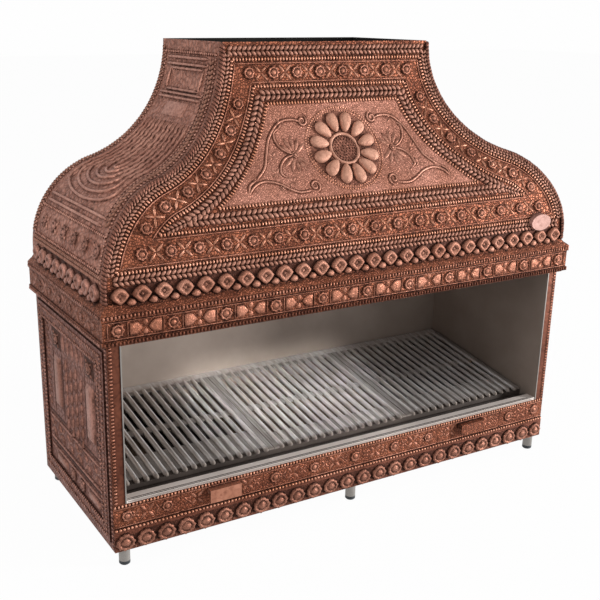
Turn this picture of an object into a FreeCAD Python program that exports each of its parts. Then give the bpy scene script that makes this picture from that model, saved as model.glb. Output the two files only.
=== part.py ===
"""Charcoal grill with an ogee smoke hood, clad in embossed copper over a steel carcass.

The grill stands on six levelling feet. A double-skinned carcass holds the hearth: two ash
drawers below, a hearth plate with firebricks and two ash grids, and three sloped cooking
grates that lift out and drain into a gutter behind the front ledge. A copper cornice runs
round the head of the carcass, and the hood stands on it: ogee sheets that meet along roped
hips, with an open flue at the top.

Frame: millimetres, +Z up, +X to the cook's right, -Y towards the cook. The origin is on the
floor, under the middle of the overall box.
"""
import FreeCAD
import Part
import math
import os

from FreeCAD import Vector

# Carcass
body_width = 1600.0
body_depth = 600.0
carcass_height = 602.0
wall = 40.0
sheet = 2.0
post_return = 25.0
touch_clearance = 0.3

# Legs, feet and base frame
foot_height = 50.0
leg_diameter = 32.0
leg_inset = 34.0
pad_height = 12.0
pad_chamfer = 3.0
pad_sides = 24
frame_tube = 30.0
frame_tube_wall = 2.0

# Front bands and side frames
plinth_height = 70.0
band_height = 72.0
plinth_strip = 3.0
lobe_count = 26
lobe_diameter = 54.0
lobe_rise = 9.0
side_frame_width = 46.0
side_frame_margin = 22.0
side_frame_rise = 5.0

# Ledge and gutter
ledge_depth = 36.0
ledge_height = 8.0
gutter_width = 34.0
gutter_front_height = 11.0
gutter_back_height = 22.0

# Hearth
hearth_plate_thickness = 3.0
hearth_drop = 10.0
brick_front_gap = 9.7
brick_width = 114.0
brick_thickness = 25.0
brick_joint = 2.0
ash_grid_thickness = 12.0
ash_grid_lap = 10.0
ash_grid_bar = 12.0
ash_grid_slot = 10.0

# Cooking grates and their rails
bar_pitch = 30.0
bar_foot_width = 17.0
bar_top_width = 10.0
bar_height = 11.0
grate_web = 5.0
grate_tilt = 9.0
grate_front_gap = 64.0
grate_rear_gap = 36.0
grate_gap = 2.0
grate_side_gap = 3.0
slot_margin = 26.0
front_solid = 66.0
rear_slot_share = 0.55
rail_width = 16.0
rail_shelf = 3.0
rail_leg = 25.0

# Ash drawers
drawer_centre_share = 0.58125
drawer_width = 266.0
drawer_gap = 1.5
tray_rear_gap = 118.0
tray_height = 38.0
tray_wall = 2.0
tray_side_gap = 1.0
runner_web = 3.0
runner_flange = 16.0
runner_flange_thickness = 2.5
pull_width = 100.0
pull_height = 40.0
pull_reach = 22.0
pull_flange = 18.0

# Cornice
cornice_height = 110.0
cornice_front = 28.0
cornice_side = 24.0
cornice_fillet = 18.0
cornice_recess = 8.0
cornice_cyma = 20.0
cornice_lip = 4.0

# Hood
hood_height = 628.0
hood_skirt = 28.0
side_reach = 446.0
front_reach = 210.0
inflection_share = 0.43
hip_rope_diameter = 20.0
hip_lap = 8.0
collar_height = 60.0

# Hood ornaments
boss_sides = 6
boss_shoulder = 0.75
boss_crown = 0.3
egg_taper = 0.3
front_bud_count = 26
side_bud_count = 10
bud_diameter = 46.0
bud_rise = 9.0
bud_strip = 3.0
bud_band_height = 58.0
frame_inset = 117.0
frame_width = 26.0
frame_rise = 4.0
frame_foot = 172.0
frame_head = 131.0
medallion_height = 328.0
medallion_diameter = 230.0
medallion_plate = 4.0
medallion_sides = 36
petal_count = 12
petal_orbit = 84.0
petal_length = 56.0
petal_width = 38.0
petal_rise = 10.0
eye_ring_diameter = 94.0
eye_ring_width = 12.0
eye_ring_rise = 5.0
eye_diameter = 74.0
eye_rise = 3.0
badge_width = 82.0
badge_height = 52.0
badge_rise = 17.0
badge_sides = 28
badge_from_side = 110.0
badge_above_cornice = 68.0

# Planes and levels that follow from the sizes above
half_width = body_width / 2
inner_half = half_width - wall
y_front = (cornice_front - body_depth) / 2
y_back = y_front + body_depth
y_liner = y_back - wall
drawer_centre = drawer_centre_share * half_width
tray_depth = y_liner - tray_rear_gap - y_front - sheet
z_base = foot_height
z_floor = z_base + frame_tube
z_plinth = z_base + plinth_height
z_band = z_plinth + band_height
z_ledge = z_band + ledge_height
z_hearth = z_band - hearth_drop + hearth_plate_thickness
z_deck = z_hearth - hearth_plate_thickness
z_cornice = z_base + carcass_height
z_hood = z_cornice + cornice_height
z_bend = z_hood + hood_skirt
z_top = z_hood + hood_height
parts_folder = "parts"


def box(x, y, z):
    """Block between two coordinates along each axis."""
    return Part.makeBox(x[1] - x[0], y[1] - y[0], z[1] - z[0], Vector(x[0], y[0], z[0]))


def polygon(points):
    """Flat face with straight edges through the points."""
    return Part.Face(Part.makePolygon(points + points[:1]))


def ring_of(width, height, sides):
    """Corners of a round or oval outline."""
    turns = [2 * math.pi * (i + 0.5) / sides for i in range(sides)]
    return [(width / 2 * math.cos(turn), height / 2 * math.sin(turn)) for turn in turns]


def prism_x(outline, x):
    """Outline of (y, z) points drawn out along X."""
    return polygon([Vector(x[0], *point) for point in outline]).extrude(Vector(x[1] - x[0], 0, 0))


def prism_z(outline, z):
    """Outline of (x, y) points drawn up along Z."""
    return polygon([Vector(*point, z[0]) for point in outline]).extrude(Vector(0, 0, z[1] - z[0]))


def tube(x, y, z, axis):
    """Rectangular tube that fills a block and is open at both ends along an axis."""
    spans = [x, y, z]
    hollow = [(low + frame_tube_wall, high - frame_tube_wall) for low, high in spans]
    hollow[axis] = spans[axis]
    return box(*spans).cut(box(*hollow))


def fused(shapes):
    """One solid from shapes that overlap."""
    return shapes[0].multiFuse(shapes[1:]).removeSplitter()


def mirrored(shape):
    """The same piece on the other side of the grill."""
    return shape.mirror(Vector(0, 0, 0), Vector(1, 0, 0))


def save(name, *shapes):
    """Writes a node. Several shapes are a group of separate solids."""
    solids = [solid for shape in shapes for solid in shape.Solids]
    node = solids[0] if len(solids) == 1 else Part.makeCompound(solids)
    node.exportStep(os.path.join(parts_folder, name + ".step"))


# Base frame, legs and feet
row_y = (y_front + sheet + frame_tube / 2, y_back - sheet - frame_tube / 2)
leg_places = {
    "left_front": (-half_width + leg_inset, row_y[0]),
    "middle_front": (0.0, row_y[0]),
    "right_front": (half_width - leg_inset, row_y[0]),
    "left_rear": (-half_width + leg_inset, row_y[1]),
    "middle_rear": (0.0, row_y[1]),
    "right_rear": (half_width - leg_inset, row_y[1]),
}


def base_frame():
    """Two long tubes, front and back, with three cross tubes welded between them."""
    side = half_width - sheet
    z = (z_base, z_floor)
    rows = [(y - frame_tube / 2, y + frame_tube / 2) for y in row_y]
    tubes = [tube((-side, side), row, z, 0) for row in rows]
    for centre in (-side + frame_tube / 2, 0.0, side - frame_tube / 2):
        span = (centre - frame_tube / 2, centre + frame_tube / 2)
        tubes.append(tube(span, (rows[0][1], rows[1][0]), z, 1))
    return tubes


def leg(x, y):
    """Short round leg welded under the frame."""
    foot = Vector(x, y, pad_height + touch_clearance)
    return Part.makeCylinder(leg_diameter / 2, z_base - foot.z, foot)


def levelling_foot(x, y):
    """Round pad with a chamfered rim, screwed into the end of the leg."""
    rims = ((leg_diameter - 2 * pad_chamfer, 0), (leg_diameter, pad_chamfer), (leg_diameter, pad_height))
    wires = []
    for diameter, z in rims:
        corners = [Vector(x + u, y + v, z) for u, v in ring_of(diameter, diameter, pad_sides)]
        wires.append(Part.makePolygon(corners + corners[:1]))
    return Part.makeLoft(wires, True, True)


# Carcass walls
def floor_pan():
    """Sheet floor that lies on the base frame, inside the skins."""
    side = half_width - sheet
    return box((-side, side), (y_front + sheet, y_back - sheet), (z_floor, z_floor + sheet))


def left_side_panel():
    """Outer copper skin of the left wall, from the base up to the hood."""
    x = (-half_width, -half_width + sheet)
    return box(x, (y_front + sheet, y_back - sheet), (z_base, z_hood))


def left_side_frame():
    """Raised copper border on the left skin, round the sunk panel."""
    x = (-half_width - side_frame_rise, -half_width)
    y = (y_front + side_frame_margin, y_back - side_frame_margin)
    z = (z_base + side_frame_margin, z_cornice - side_frame_margin)
    inner_y = (y[0] + side_frame_width, y[1] - side_frame_width)
    inner_z = (z[0] + side_frame_width, z[1] - side_frame_width)
    return box(x, y, z).cut(box(x, inner_y, inner_z))


def back_panel():
    """Plain outer sheet of the back wall, flat to stand against a wall."""
    return box((-half_width, half_width), (y_back - sheet, y_back), (z_base, z_hood))


def left_post():
    """Copper angle that closes the front of the left wall above the band."""
    z = (z_band, z_cornice)
    edge = -inner_half - sheet
    face = box((-half_width, edge), (y_front, y_front + sheet), z)
    turned = box((edge - sheet, edge), (y_front, y_front + post_return), z)
    return fused([face, turned])


def left_liner():
    """Inner steel wall of the left side. Its front edge shows beside the post."""
    x = (-inner_half - sheet, -inner_half)
    edge = box(x, (y_front, y_front + post_return), (z_band, z_cornice))
    web = box(x, (y_front + sheet, y_liner + sheet), (z_floor + sheet, z_cornice))
    return fused([edge, web])


def back_liner():
    """Inner steel wall at the back, between the two side liners."""
    return box((-inner_half, inner_half), (y_liner, y_liner + sheet), (z_floor + sheet, z_cornice))


def left_insulation():
    """Mineral board between the two skins of the left wall."""
    x = (-half_width + sheet, -inner_half - sheet)
    return box(x, (y_front + post_return, y_back - sheet), (z_floor + sheet, z_cornice))


def back_insulation():
    """Mineral board between the two skins of the back wall."""
    side = inner_half + sheet
    return box((-side, side), (y_liner + sheet, y_back - sheet), (z_floor + sheet, z_cornice))


def top_frame():
    """Four tubes on the walls. They span the window, tie the walls and carry the hood."""
    side = half_width - sheet
    z = (z_cornice, z_hood)
    front = (y_front, y_front + wall)
    rear = (y_liner, y_back - sheet)
    left = tube((-side, -inner_half), (front[1], rear[0]), z, 1)
    return [tube((-side, side), row, z, 0) for row in (front, rear)] + [left, mirrored(left)]


# Front bands
def egg_outline(length, width):
    """Corners of an egg-shaped boss along X, with its broad end towards +X."""
    turns = [2 * math.pi * (i + 0.5) / boss_sides for i in range(boss_sides)]
    return [(length / 2 * math.cos(turn), width / 2 * math.sin(turn) * (1 + egg_taper * math.cos(turn)))
            for turn in turns]


def boss(outline, rise, sunk):
    """Raised knob that faces +Z: an outline that draws in to a shoulder and to a flat crown."""
    tiers = []
    for scale, height in ((1.0, -sunk), (boss_shoulder, boss_shoulder * rise), (boss_crown, rise)):
        tiers.append([Vector(scale * u, scale * v, height) for u, v in outline])
    faces = [polygon(tiers[0]), polygon(tiers[-1])]
    for lower, upper in zip(tiers, tiers[1:]):
        for i in range(len(outline)):
            faces.append(polygon([lower[i - 1], lower[i], upper[i], upper[i - 1]]))
    return Part.Solid(Part.Shell(faces))


def facing_front(shape):
    """Turns a piece that faces +Z to face the cook, with its +Y upwards."""
    piece = shape.copy()
    piece.rotate(Vector(0, 0, 0), Vector(1, 0, 0), 90)
    return piece


def front_fascia():
    """Copper sheet across the front below the ledge, with an opening for each drawer."""
    y = (y_front, y_front + sheet)
    opening = drawer_width / 2 + drawer_gap
    skin = box((-half_width, half_width), y, (z_base, z_band))
    for centre in (-drawer_centre, drawer_centre):
        x = (centre - opening, centre + opening)
        skin = skin.cut(box(x, y, (z_plinth + drawer_gap, z_band - drawer_gap)))
    return skin


def plinth_moulding():
    """Copper strip along the foot of the front, raised in a row of round lobes."""
    strip = box((-half_width, half_width), (y_front - plinth_strip, y_front), (z_base, z_plinth))
    lobe_corners = ring_of(lobe_diameter, lobe_diameter, boss_sides)
    lobe = facing_front(boss(lobe_corners, lobe_rise, plinth_strip / 2))
    pitch = body_width / lobe_count
    middle = z_base + plinth_height / 2
    lobes = [lobe.translated(Vector(-half_width + (i + 0.5) * pitch, y_front - plinth_strip, middle))
             for i in range(lobe_count)]
    return fused([strip] + lobes)


# Ledge and gutter
ledge_back = y_front + ledge_depth
gutter_front = ledge_back + touch_clearance
gutter_rear = gutter_front + gutter_width
channel_x = (-inner_half + grate_side_gap, inner_half - grate_side_gap)


def skewer_ledge():
    """Folded steel ledge on top of the fascia, where skewer handles rest."""
    under = z_ledge - sheet
    outline = [(y_front, z_band), (y_front + sheet, z_band), (y_front + sheet, under),
               (ledge_back - sheet, under), (ledge_back - sheet, z_hearth),
               (ledge_back, z_hearth), (ledge_back, z_ledge), (y_front, z_ledge)]
    return prism_x(outline, (-inner_half, inner_half))


def grease_gutter():
    """Channel on the hearth plate that catches fat from the front ends of the grates."""
    inside = z_hearth + sheet
    front_top = z_hearth + gutter_front_height
    rear_top = z_hearth + gutter_back_height
    outline = [(gutter_front, z_hearth), (gutter_rear, z_hearth), (gutter_rear, rear_top),
               (gutter_rear - sheet, rear_top), (gutter_rear - sheet, inside),
               (gutter_front + sheet, inside), (gutter_front + sheet, front_top),
               (gutter_front, front_top)]
    return prism_x(outline, channel_x)


# Hearth
hearth_rear = y_liner - brick_joint
brick_front = gutter_rear + rail_width + brick_front_gap
brick_length = (hearth_rear - brick_front - brick_joint) / 2
drawer_half = drawer_width / 2
z_runner = z_plinth + drawer_gap + runner_flange_thickness


def hearth_plate():
    """Steel deck above the drawers, cut out where ash falls through the grids."""
    z = (z_deck, z_hearth)
    deck = box((-inner_half, inner_half), (y_front + sheet + touch_clearance, y_liner), z)
    reach = drawer_half - ash_grid_lap
    y = (brick_front + ash_grid_lap, hearth_rear - ash_grid_lap)
    for centre in (-drawer_centre, drawer_centre):
        deck = deck.cut(box((centre - reach, centre + reach), y, z))
    return deck


def drawer_runner(centre, side):
    """Upright beside a drawer. Its flange carries the tray and its top the hearth plate."""
    inner = centre + side * (drawer_half + drawer_gap)
    outer = inner + side * runner_web
    reach = inner - side * runner_flange
    y = (y_front + 2 * sheet, y_front + 2 * sheet + tray_depth)
    web = box(sorted((inner, outer)), y, (z_floor + sheet, z_deck))
    flange = box(sorted((outer, reach)), y, (z_runner - runner_flange_thickness, z_runner))
    return fused([web, flange])


def hearth_bearer():
    """Tube against the left liner that carries the end of the hearth plate."""
    x = (-inner_half, -inner_half + frame_tube)
    return tube(x, (y_front + post_return, y_liner), (z_floor + sheet, z_deck), 1)


def firebricks():
    """Brick slips laid flat on the hearth plate, between and beside the ash grids."""
    step = brick_width + brick_joint
    clear = 2 * (drawer_centre - drawer_half - brick_joint)
    between = int((clear + brick_joint) // step)
    columns = [(i - between / 2) * step + brick_joint / 2 for i in range(between)]
    outside = drawer_centre + drawer_half + brick_joint
    for i in range(int((inner_half - outside) // step)):
        columns += [outside + i * step, -outside - i * step - brick_width]
    z = (z_hearth, z_hearth + brick_thickness)
    bricks = []
    for x in columns:
        for y in (brick_front, brick_front + brick_length + brick_joint):
            bricks.append(box((x, x + brick_width), (y, y + brick_length), z))
    return bricks


def ash_grid(centre):
    """Cast grid over a drawer. Charcoal lies on it, and ash falls through its slots."""
    z = (z_hearth, z_hearth + ash_grid_thickness)
    grid = box((centre - drawer_half, centre + drawer_half), (brick_front, hearth_rear), z)
    pitch = ash_grid_bar + ash_grid_slot
    count = int((drawer_width - 4 * ash_grid_lap) // pitch)
    y = (brick_front + 2 * ash_grid_lap, hearth_rear - 2 * ash_grid_lap)
    slots = []
    for i in range(count):
        x = centre + (i - count / 2) * pitch + ash_grid_bar / 2
        slots.append(box((x, x + ash_grid_slot), y, z))
    return grid.cut(slots)


# Cooking grates
grate_names = ("left_grate", "middle_grate", "right_grate")
grate_room = channel_x[1] - channel_x[0] - (len(grate_names) - 1) * grate_gap
grate_width = grate_room / len(grate_names)
grate_y = y_front + grate_front_gap
grate_rear = y_liner - grate_rear_gap
grate_length = (grate_rear - grate_y) / math.cos(math.radians(grate_tilt))
grate_bars = int((grate_width - 2 * bar_foot_width) // bar_pitch) + 1
z_grate = z_hearth + gutter_back_height + touch_clearance


def seat(y):
    """Height of a rail's top at a given y, just under the grates."""
    return z_grate + (y - grate_y) * math.tan(math.radians(grate_tilt)) - touch_clearance


def front_grate_rail():
    """Bar behind the gutter, with its top cut to the slope of the grates."""
    front = gutter_rear + touch_clearance
    rear = front + rail_width
    outline = [(front, z_hearth), (rear, z_hearth), (rear, seat(rear)), (front, seat(front))]
    return prism_x(outline, channel_x)


def rear_grate_rail():
    """Angle on the back liner, with a sloped shelf under the rear ends of the grates."""
    tip = grate_rear - rail_width
    root = y_liner - rail_shelf
    foot = seat(y_liner) - rail_leg
    outline = [(tip, seat(tip)), (y_liner, seat(y_liner)), (y_liner, foot), (root, foot),
               (root, seat(root) - rail_shelf), (tip, seat(tip) - rail_shelf)]
    return prism_x(outline, channel_x)


def cooking_grate(index):
    """Cast grate: ridged bars on a web, slotted in two rows, with drain grooves at the front."""
    margin = (grate_width - (grate_bars - 1) * bar_pitch) / 2
    outline = [(0, 0), (grate_width, 0), (grate_width, grate_web)]
    for i in reversed(range(grate_bars)):
        centre = margin + i * bar_pitch
        outline += [(centre + bar_foot_width / 2, grate_web), (centre + bar_top_width / 2, bar_height),
                    (centre - bar_top_width / 2, bar_height), (centre - bar_foot_width / 2, grate_web)]
    outline.append((0, grate_web))
    section = polygon([Vector(x, 0, z) for x, z in outline])
    grate = section.extrude(Vector(0, grate_length, 0))
    slotted = grate_length - front_solid - 2 * slot_margin
    break_start = front_solid + slotted * (1 - rear_slot_share)
    rows = ((front_solid, break_start), (break_start + slot_margin, grate_length - slot_margin))
    slots = []
    for i in range(grate_bars - 1):
        x = margin + bar_foot_width / 2 + i * bar_pitch
        gap = (x, x + bar_pitch - bar_foot_width)
        slots += [box(gap, row, (0, grate_web)) for row in rows]
    grate = grate.cut(slots)
    grate.rotate(Vector(0, 0, 0), Vector(1, 0, 0), grate_tilt)
    return grate.translated(Vector(channel_x[0] + index * (grate_width + grate_gap), grate_y, z_grate))


# Ash drawers
def drawer_tray(centre):
    """Folded steel tray that slides on the runner flanges."""
    half = drawer_half - tray_side_gap
    low = z_runner + touch_clearance
    y = (y_front + sheet, y_front + sheet + tray_depth)
    inside = box((centre - half + tray_wall, centre + half - tray_wall),
                 (y[0] + tray_wall, y[1] - tray_wall), (low + tray_wall, low + tray_height))
    return box((centre - half, centre + half), y, (low, low + tray_height)).cut(inside)


def drawer_front(centre):
    """Copper front of the drawer, flush with the fascia."""
    z = (z_plinth + 2 * drawer_gap, z_band - 2 * drawer_gap)
    return box((centre - drawer_half, centre + drawer_half), (y_front, y_front + sheet), z)


def drawer_pull(centre):
    """Folded copper tab. Fingers go in behind it from below."""
    top = (z_plinth + z_band + pull_height) / 2
    outer = y_front - pull_reach
    outline = [(y_front, top), (outer, top), (outer, top - pull_height),
               (outer + sheet, top - pull_height), (outer + sheet, top - sheet),
               (y_front - sheet, top - sheet), (y_front - sheet, top - pull_flange),
               (y_front, top - pull_flange)]
    return prism_x(outline, (centre - pull_width / 2, centre + pull_width / 2))


# Cornice
def cornice_section(reach, point):
    """Sheet moulding, open to the wall: a fillet, a sunk face, a fillet and a slope back to the hood."""
    face = reach - cornice_recess
    inner = face - sheet
    z_slope = z_hood - cornice_cyma
    hidden = z_hood - cornice_lip - sheet / 2
    outline = [(0, z_cornice), (reach, z_cornice), (reach, z_cornice + cornice_fillet),
               (face, z_cornice + cornice_fillet), (face, z_slope - cornice_fillet),
               (reach, z_slope - cornice_fillet), (reach, z_slope), (cornice_lip, z_hood), (0, z_hood),
               (0, hidden), (cornice_lip + sheet, hidden), (inner, z_slope + cornice_lip),
               (inner, z_cornice + sheet), (0, z_cornice + sheet)]
    return polygon([point(out, z) for out, z in outline])


cornice_corner = (-half_width - cornice_side, y_front - cornice_front)


def front_cornice():
    """Copper moulding across the front, mitred at both ends."""
    section = cornice_section(cornice_front, lambda out, z: Vector(cornice_corner[0], y_front - out, z))
    bar = section.extrude(Vector(-2 * cornice_corner[0], 0, 0))
    mitre = [cornice_corner, (-cornice_corner[0], cornice_corner[1]),
             (half_width, y_front), (-half_width, y_front)]
    return bar.common(prism_z(mitre, (z_cornice, z_hood)))


def left_cornice():
    """Copper moulding along the left side, mitred to the front one."""
    section = cornice_section(cornice_side, lambda out, z: Vector(-half_width - out, y_back, z))
    bar = section.extrude(Vector(0, cornice_corner[1] - y_back, 0))
    mitre = [cornice_corner, (-half_width, y_front), (-half_width, y_back), (cornice_corner[0], y_back)]
    return bar.common(prism_z(mitre, (z_cornice, z_hood)))


# Hood: each face is one ogee, upright at the foot and at the flue
def ogee(reach):
    """Lower radius, upper radius and turn of the two tangent arcs that draw in by a reach."""
    rise = z_top - z_bend
    turn = 2 * math.atan(reach / rise)
    total = rise / math.sin(turn)
    return inflection_share * total, (1 - inflection_share) * total, turn


def drawn_in(reach, z):
    """How far the ogee has drawn in at a height."""
    lower, upper, turn = ogee(reach)
    if z <= z_bend:
        return 0.0
    if z <= z_bend + lower * math.sin(turn):
        return lower - math.sqrt(lower ** 2 - (z - z_bend) ** 2)
    return reach - upper + math.sqrt(upper ** 2 - (z_top - z) ** 2)


def ogee_edges(reach, inset, point):
    """The ogee line from foot to flue, moved into the hood by an inset."""
    lower, upper, turn = ogee(reach)

    def low(angle):
        return point(lower - (lower - inset) * math.cos(angle), z_bend + (lower - inset) * math.sin(angle))

    def high(angle):
        run = upper + inset
        return point(reach - upper + run * math.cos(angle), z_top - run * math.sin(angle))

    return [Part.makeLine(point(inset, z_hood), low(0)),
            Part.Arc(low(0), low(turn / 2), low(turn)).toShape(),
            Part.Arc(high(turn), high(turn / 2), high(0)).toShape()]


def strip_face(reach, outer, inner, point):
    """Section of a sheet that follows the ogee between two insets."""
    front = ogee_edges(reach, outer, point)
    rear = ogee_edges(reach, inner, point)
    ends = [Part.makeLine(front[0].Vertexes[0].Point, rear[0].Vertexes[0].Point),
            Part.makeLine(front[-1].Vertexes[-1].Point, rear[-1].Vertexes[-1].Point)]
    return Part.Face(Part.Wire(Part.__sortEdges__(front + rear + ends)))


def left_line(y):
    """Places a (drawn in, height) point of the left face at a given y."""
    return lambda drawn, z: Vector(-half_width + drawn, y, z)


def right_line(y):
    """Places a (drawn in, height) point of the right face at a given y."""
    return lambda drawn, z: Vector(half_width - drawn, y, z)


def front_line(x):
    """Places a (drawn in, height) point of the front face at a given x."""
    return lambda drawn, z: Vector(x, y_front + drawn, z)


def between_sides(inset, y):
    """Everything between the two side faces, moved in by an inset."""
    left = ogee_edges(side_reach, inset, left_line(y[0]))
    right = ogee_edges(side_reach, inset, right_line(y[0]))
    ends = [Part.makeLine(left[0].Vertexes[0].Point, right[0].Vertexes[0].Point),
            Part.makeLine(left[-1].Vertexes[-1].Point, right[-1].Vertexes[-1].Point)]
    face = Part.Face(Part.Wire(Part.__sortEdges__(left + right + ends)))
    return face.extrude(Vector(0, y[1] - y[0], 0))


def behind_front(inset):
    """Everything between the front face, moved in by an inset, and the back of the hood."""
    edge = half_width + hip_rope_diameter
    line = ogee_edges(front_reach, inset, front_line(-edge))
    foot = Vector(-edge, y_back, z_hood)
    head = Vector(-edge, y_back, z_top)
    ends = [Part.makeLine(line[0].Vertexes[0].Point, foot), Part.makeLine(foot, head),
            Part.makeLine(line[-1].Vertexes[-1].Point, head)]
    face = Part.Face(Part.Wire(Part.__sortEdges__(line + ends)))
    return face.extrude(Vector(2 * edge, 0, 0))


hood_y = (y_front, y_back)
hood_form = between_sides(0.0, hood_y).common(behind_front(0.0))


def hood_left_panel():
    """Left ogee sheet of the hood. It laps the edge of the front sheet."""
    section = strip_face(side_reach, 0.0, sheet, left_line(y_front))
    return section.extrude(Vector(0, body_depth - sheet, 0)).common(hood_form)


def hood_front_panel():
    """Front ogee sheet of the hood, between the two side sheets."""
    section = strip_face(front_reach, 0.0, sheet, front_line(-half_width))
    return section.extrude(Vector(body_width, 0, 0)).common(between_sides(sheet, hood_y))


def hood_back_panel():
    """Flat back of the hood, cut to the ogee outline."""
    return between_sides(0.0, (y_back - sheet, y_back))


def left_hip_rope():
    """Bead folded over the joint of the front and left sheets, from the cornice to the flue."""
    rise = hip_rope_diameter / 2
    y = (y_front - hip_rope_diameter, y_back)
    left_half = box((-body_width, 0), y, (z_hood, z_top))
    around = between_sides(-rise, y).common(behind_front(-rise)).common(left_half)
    return around.cut(hood_form).cut(between_sides(hip_lap, y)).cut(behind_front(hip_lap))


def flue_collar():
    """Four plates inside the head of the hood that a duct slips into."""
    x = half_width - side_reach - sheet
    y = (y_front + front_reach + sheet, y_back - sheet)
    z = (z_top - collar_height, z_top)
    left = box((-x, -x + sheet), y, z)
    cross = (-x + sheet, x - sheet)
    return [left, mirrored(left), box(cross, (y[0], y[0] + sheet), z), box(cross, (y[1] - sheet, y[1]), z)]


# Hood ornaments
band_z = (z_hood, z_hood + bud_band_height)
rope_room = hip_rope_diameter / 2 + touch_clearance


def bud_row(strip, first, step, count, turn):
    """Strip with a row of round buds raised on it."""
    bud = facing_front(boss(ring_of(bud_diameter, bud_diameter, boss_sides), bud_rise, bud_strip / 2))
    bud.rotate(Vector(0, 0, 0), Vector(0, 0, 1), turn)
    return fused([strip] + [bud.translated(first + step * i) for i in range(count)])


def front_bud_band():
    """Copper strip with a row of buds along the foot of the hood's front."""
    half = half_width - rope_room
    section = strip_face(front_reach, -bud_strip, 0.0, front_line(-half))
    room = box((-half, half), (y_front - bud_strip, y_back), band_z)
    strip = section.extrude(Vector(2 * half, 0, 0)).common(room)
    pitch = 2 * half / front_bud_count
    first = Vector(-half + pitch / 2, y_front - bud_strip, sum(band_z) / 2)
    return bud_row(strip, first, Vector(pitch, 0, 0), front_bud_count, 0)


def left_bud_band():
    """Copper strip with a row of buds along the foot of the hood's left side."""
    y = (y_front + rope_room, y_back)
    section = strip_face(side_reach, -bud_strip, 0.0, left_line(y[0]))
    room = box((-half_width - bud_strip, 0), y, band_z)
    strip = section.extrude(Vector(0, y[1] - y[0], 0)).common(room)
    pitch = (y[1] - y[0]) / side_bud_count
    first = Vector(-half_width - bud_strip, y[0] + pitch / 2, sum(band_z) / 2)
    return bud_row(strip, first, Vector(0, pitch, 0), side_bud_count, -90)


def hood_front_frame():
    """Raised copper frame on the hood's front. Its sides run beside the hips."""
    section = strip_face(front_reach, -frame_rise, 0.0, front_line(-half_width))
    skin = section.extrude(Vector(body_width, 0, 0))
    y = (y_front - frame_rise, y_back)
    z = (z_hood + frame_foot, z_top - frame_head)
    outside = between_sides(frame_inset, y).common(box((-half_width, half_width), y, z))
    inner_z = (z[0] + frame_width, z[1] - frame_width)
    inside = between_sides(frame_inset + frame_width, y).common(box((-half_width, half_width), y, inner_z))
    return skin.common(outside.cut(inside))


def front_lean(z):
    """Angle in degrees between the hood's front and upright, above the turn of the ogee."""
    upper = ogee(front_reach)[1]
    return math.degrees(math.asin((z_top - z) / upper))


def laid_on_front(shape, x, up):
    """Sets a piece that faces +Z on the hood's front, at an x and a distance up the sheet."""
    upper = ogee(front_reach)[1]
    lean = front_lean(z_hood + medallion_height) - math.degrees(up / upper)
    drawn = front_reach - upper + upper * math.cos(math.radians(lean))
    z = z_top - upper * math.sin(math.radians(lean))
    piece = shape.copy()
    piece.rotate(Vector(0, 0, 0), Vector(1, 0, 0), 90 - lean)
    return piece.translated(Vector(x, y_front + drawn, z))


def eye_ring():
    """Flat-topped ring round the eye of the flower."""
    middle = eye_ring_diameter / 2
    outline = [(middle - eye_ring_width / 2, 0), (middle + eye_ring_width / 2, 0),
               (middle + eye_ring_width / 4, medallion_plate + eye_ring_rise),
               (middle - eye_ring_width / 4, medallion_plate + eye_ring_rise)]
    section = polygon([Vector(r, 0, z) for r, z in outline])
    return section.revolve(Vector(0, 0, 0), Vector(0, 0, 1), 360)


def hood_medallion():
    """Raised flower in the middle of the hood's front: a plate, a ring of petals and an eye."""
    section = strip_face(front_reach, -medallion_plate, 0.0, front_line(-medallion_diameter))
    skin = section.extrude(Vector(2 * medallion_diameter, 0, 0))
    rim = ring_of(medallion_diameter, medallion_diameter, medallion_sides)
    disc = prism_z(rim, (-medallion_diameter / 2, medallion_diameter / 2))
    shapes = [skin.common(laid_on_front(disc, 0, 0))]
    raised = Vector(0, 0, medallion_plate)
    petal = boss(egg_outline(petal_length, petal_width), petal_rise, medallion_plate / 2).translated(raised)
    for i in range(petal_count):
        turn = 360.0 * i / petal_count
        leaf = petal.copy()
        leaf.rotate(Vector(0, 0, 0), Vector(0, 0, 1), turn)
        angle = math.radians(turn)
        shapes.append(laid_on_front(leaf, petal_orbit * math.cos(angle), petal_orbit * math.sin(angle)))
    eye_corners = ring_of(eye_diameter, eye_diameter, boss_sides)
    eye = boss(eye_corners, eye_rise, medallion_plate / 2).translated(raised)
    shapes += [laid_on_front(eye_ring(), 0, 0), laid_on_front(eye, 0, 0)]
    return fused(shapes).cut(hood_form)


def badge_plate():
    """Bare oval plate low on the right of the hood's front."""
    x = half_width - badge_from_side
    z = z_hood + badge_above_cornice
    outer = y_front + drawn_in(front_reach, z) - badge_rise
    oval = polygon([Vector(*point, 0) for point in ring_of(badge_width, badge_height, badge_sides)])
    plate = oval.extrude(Vector(0, 0, -2 * badge_rise))
    plate.rotate(Vector(0, 0, 0), Vector(1, 0, 0), 90)
    bud_front = y_front - bud_strip - bud_rise - touch_clearance
    over_buds = box((x - badge_width, x + badge_width), (bud_front, y_back),
                    (z_hood, band_z[1] + touch_clearance))
    return plate.translated(Vector(x, outer, z)).cut(hood_form).cut(over_buds)


os.makedirs(parts_folder, exist_ok=True)

save("base_frame", *base_frame())
save("legs", *[leg(*place) for place in leg_places.values()])
for place_name, place in leg_places.items():
    save(place_name + "_foot", levelling_foot(*place))

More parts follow.
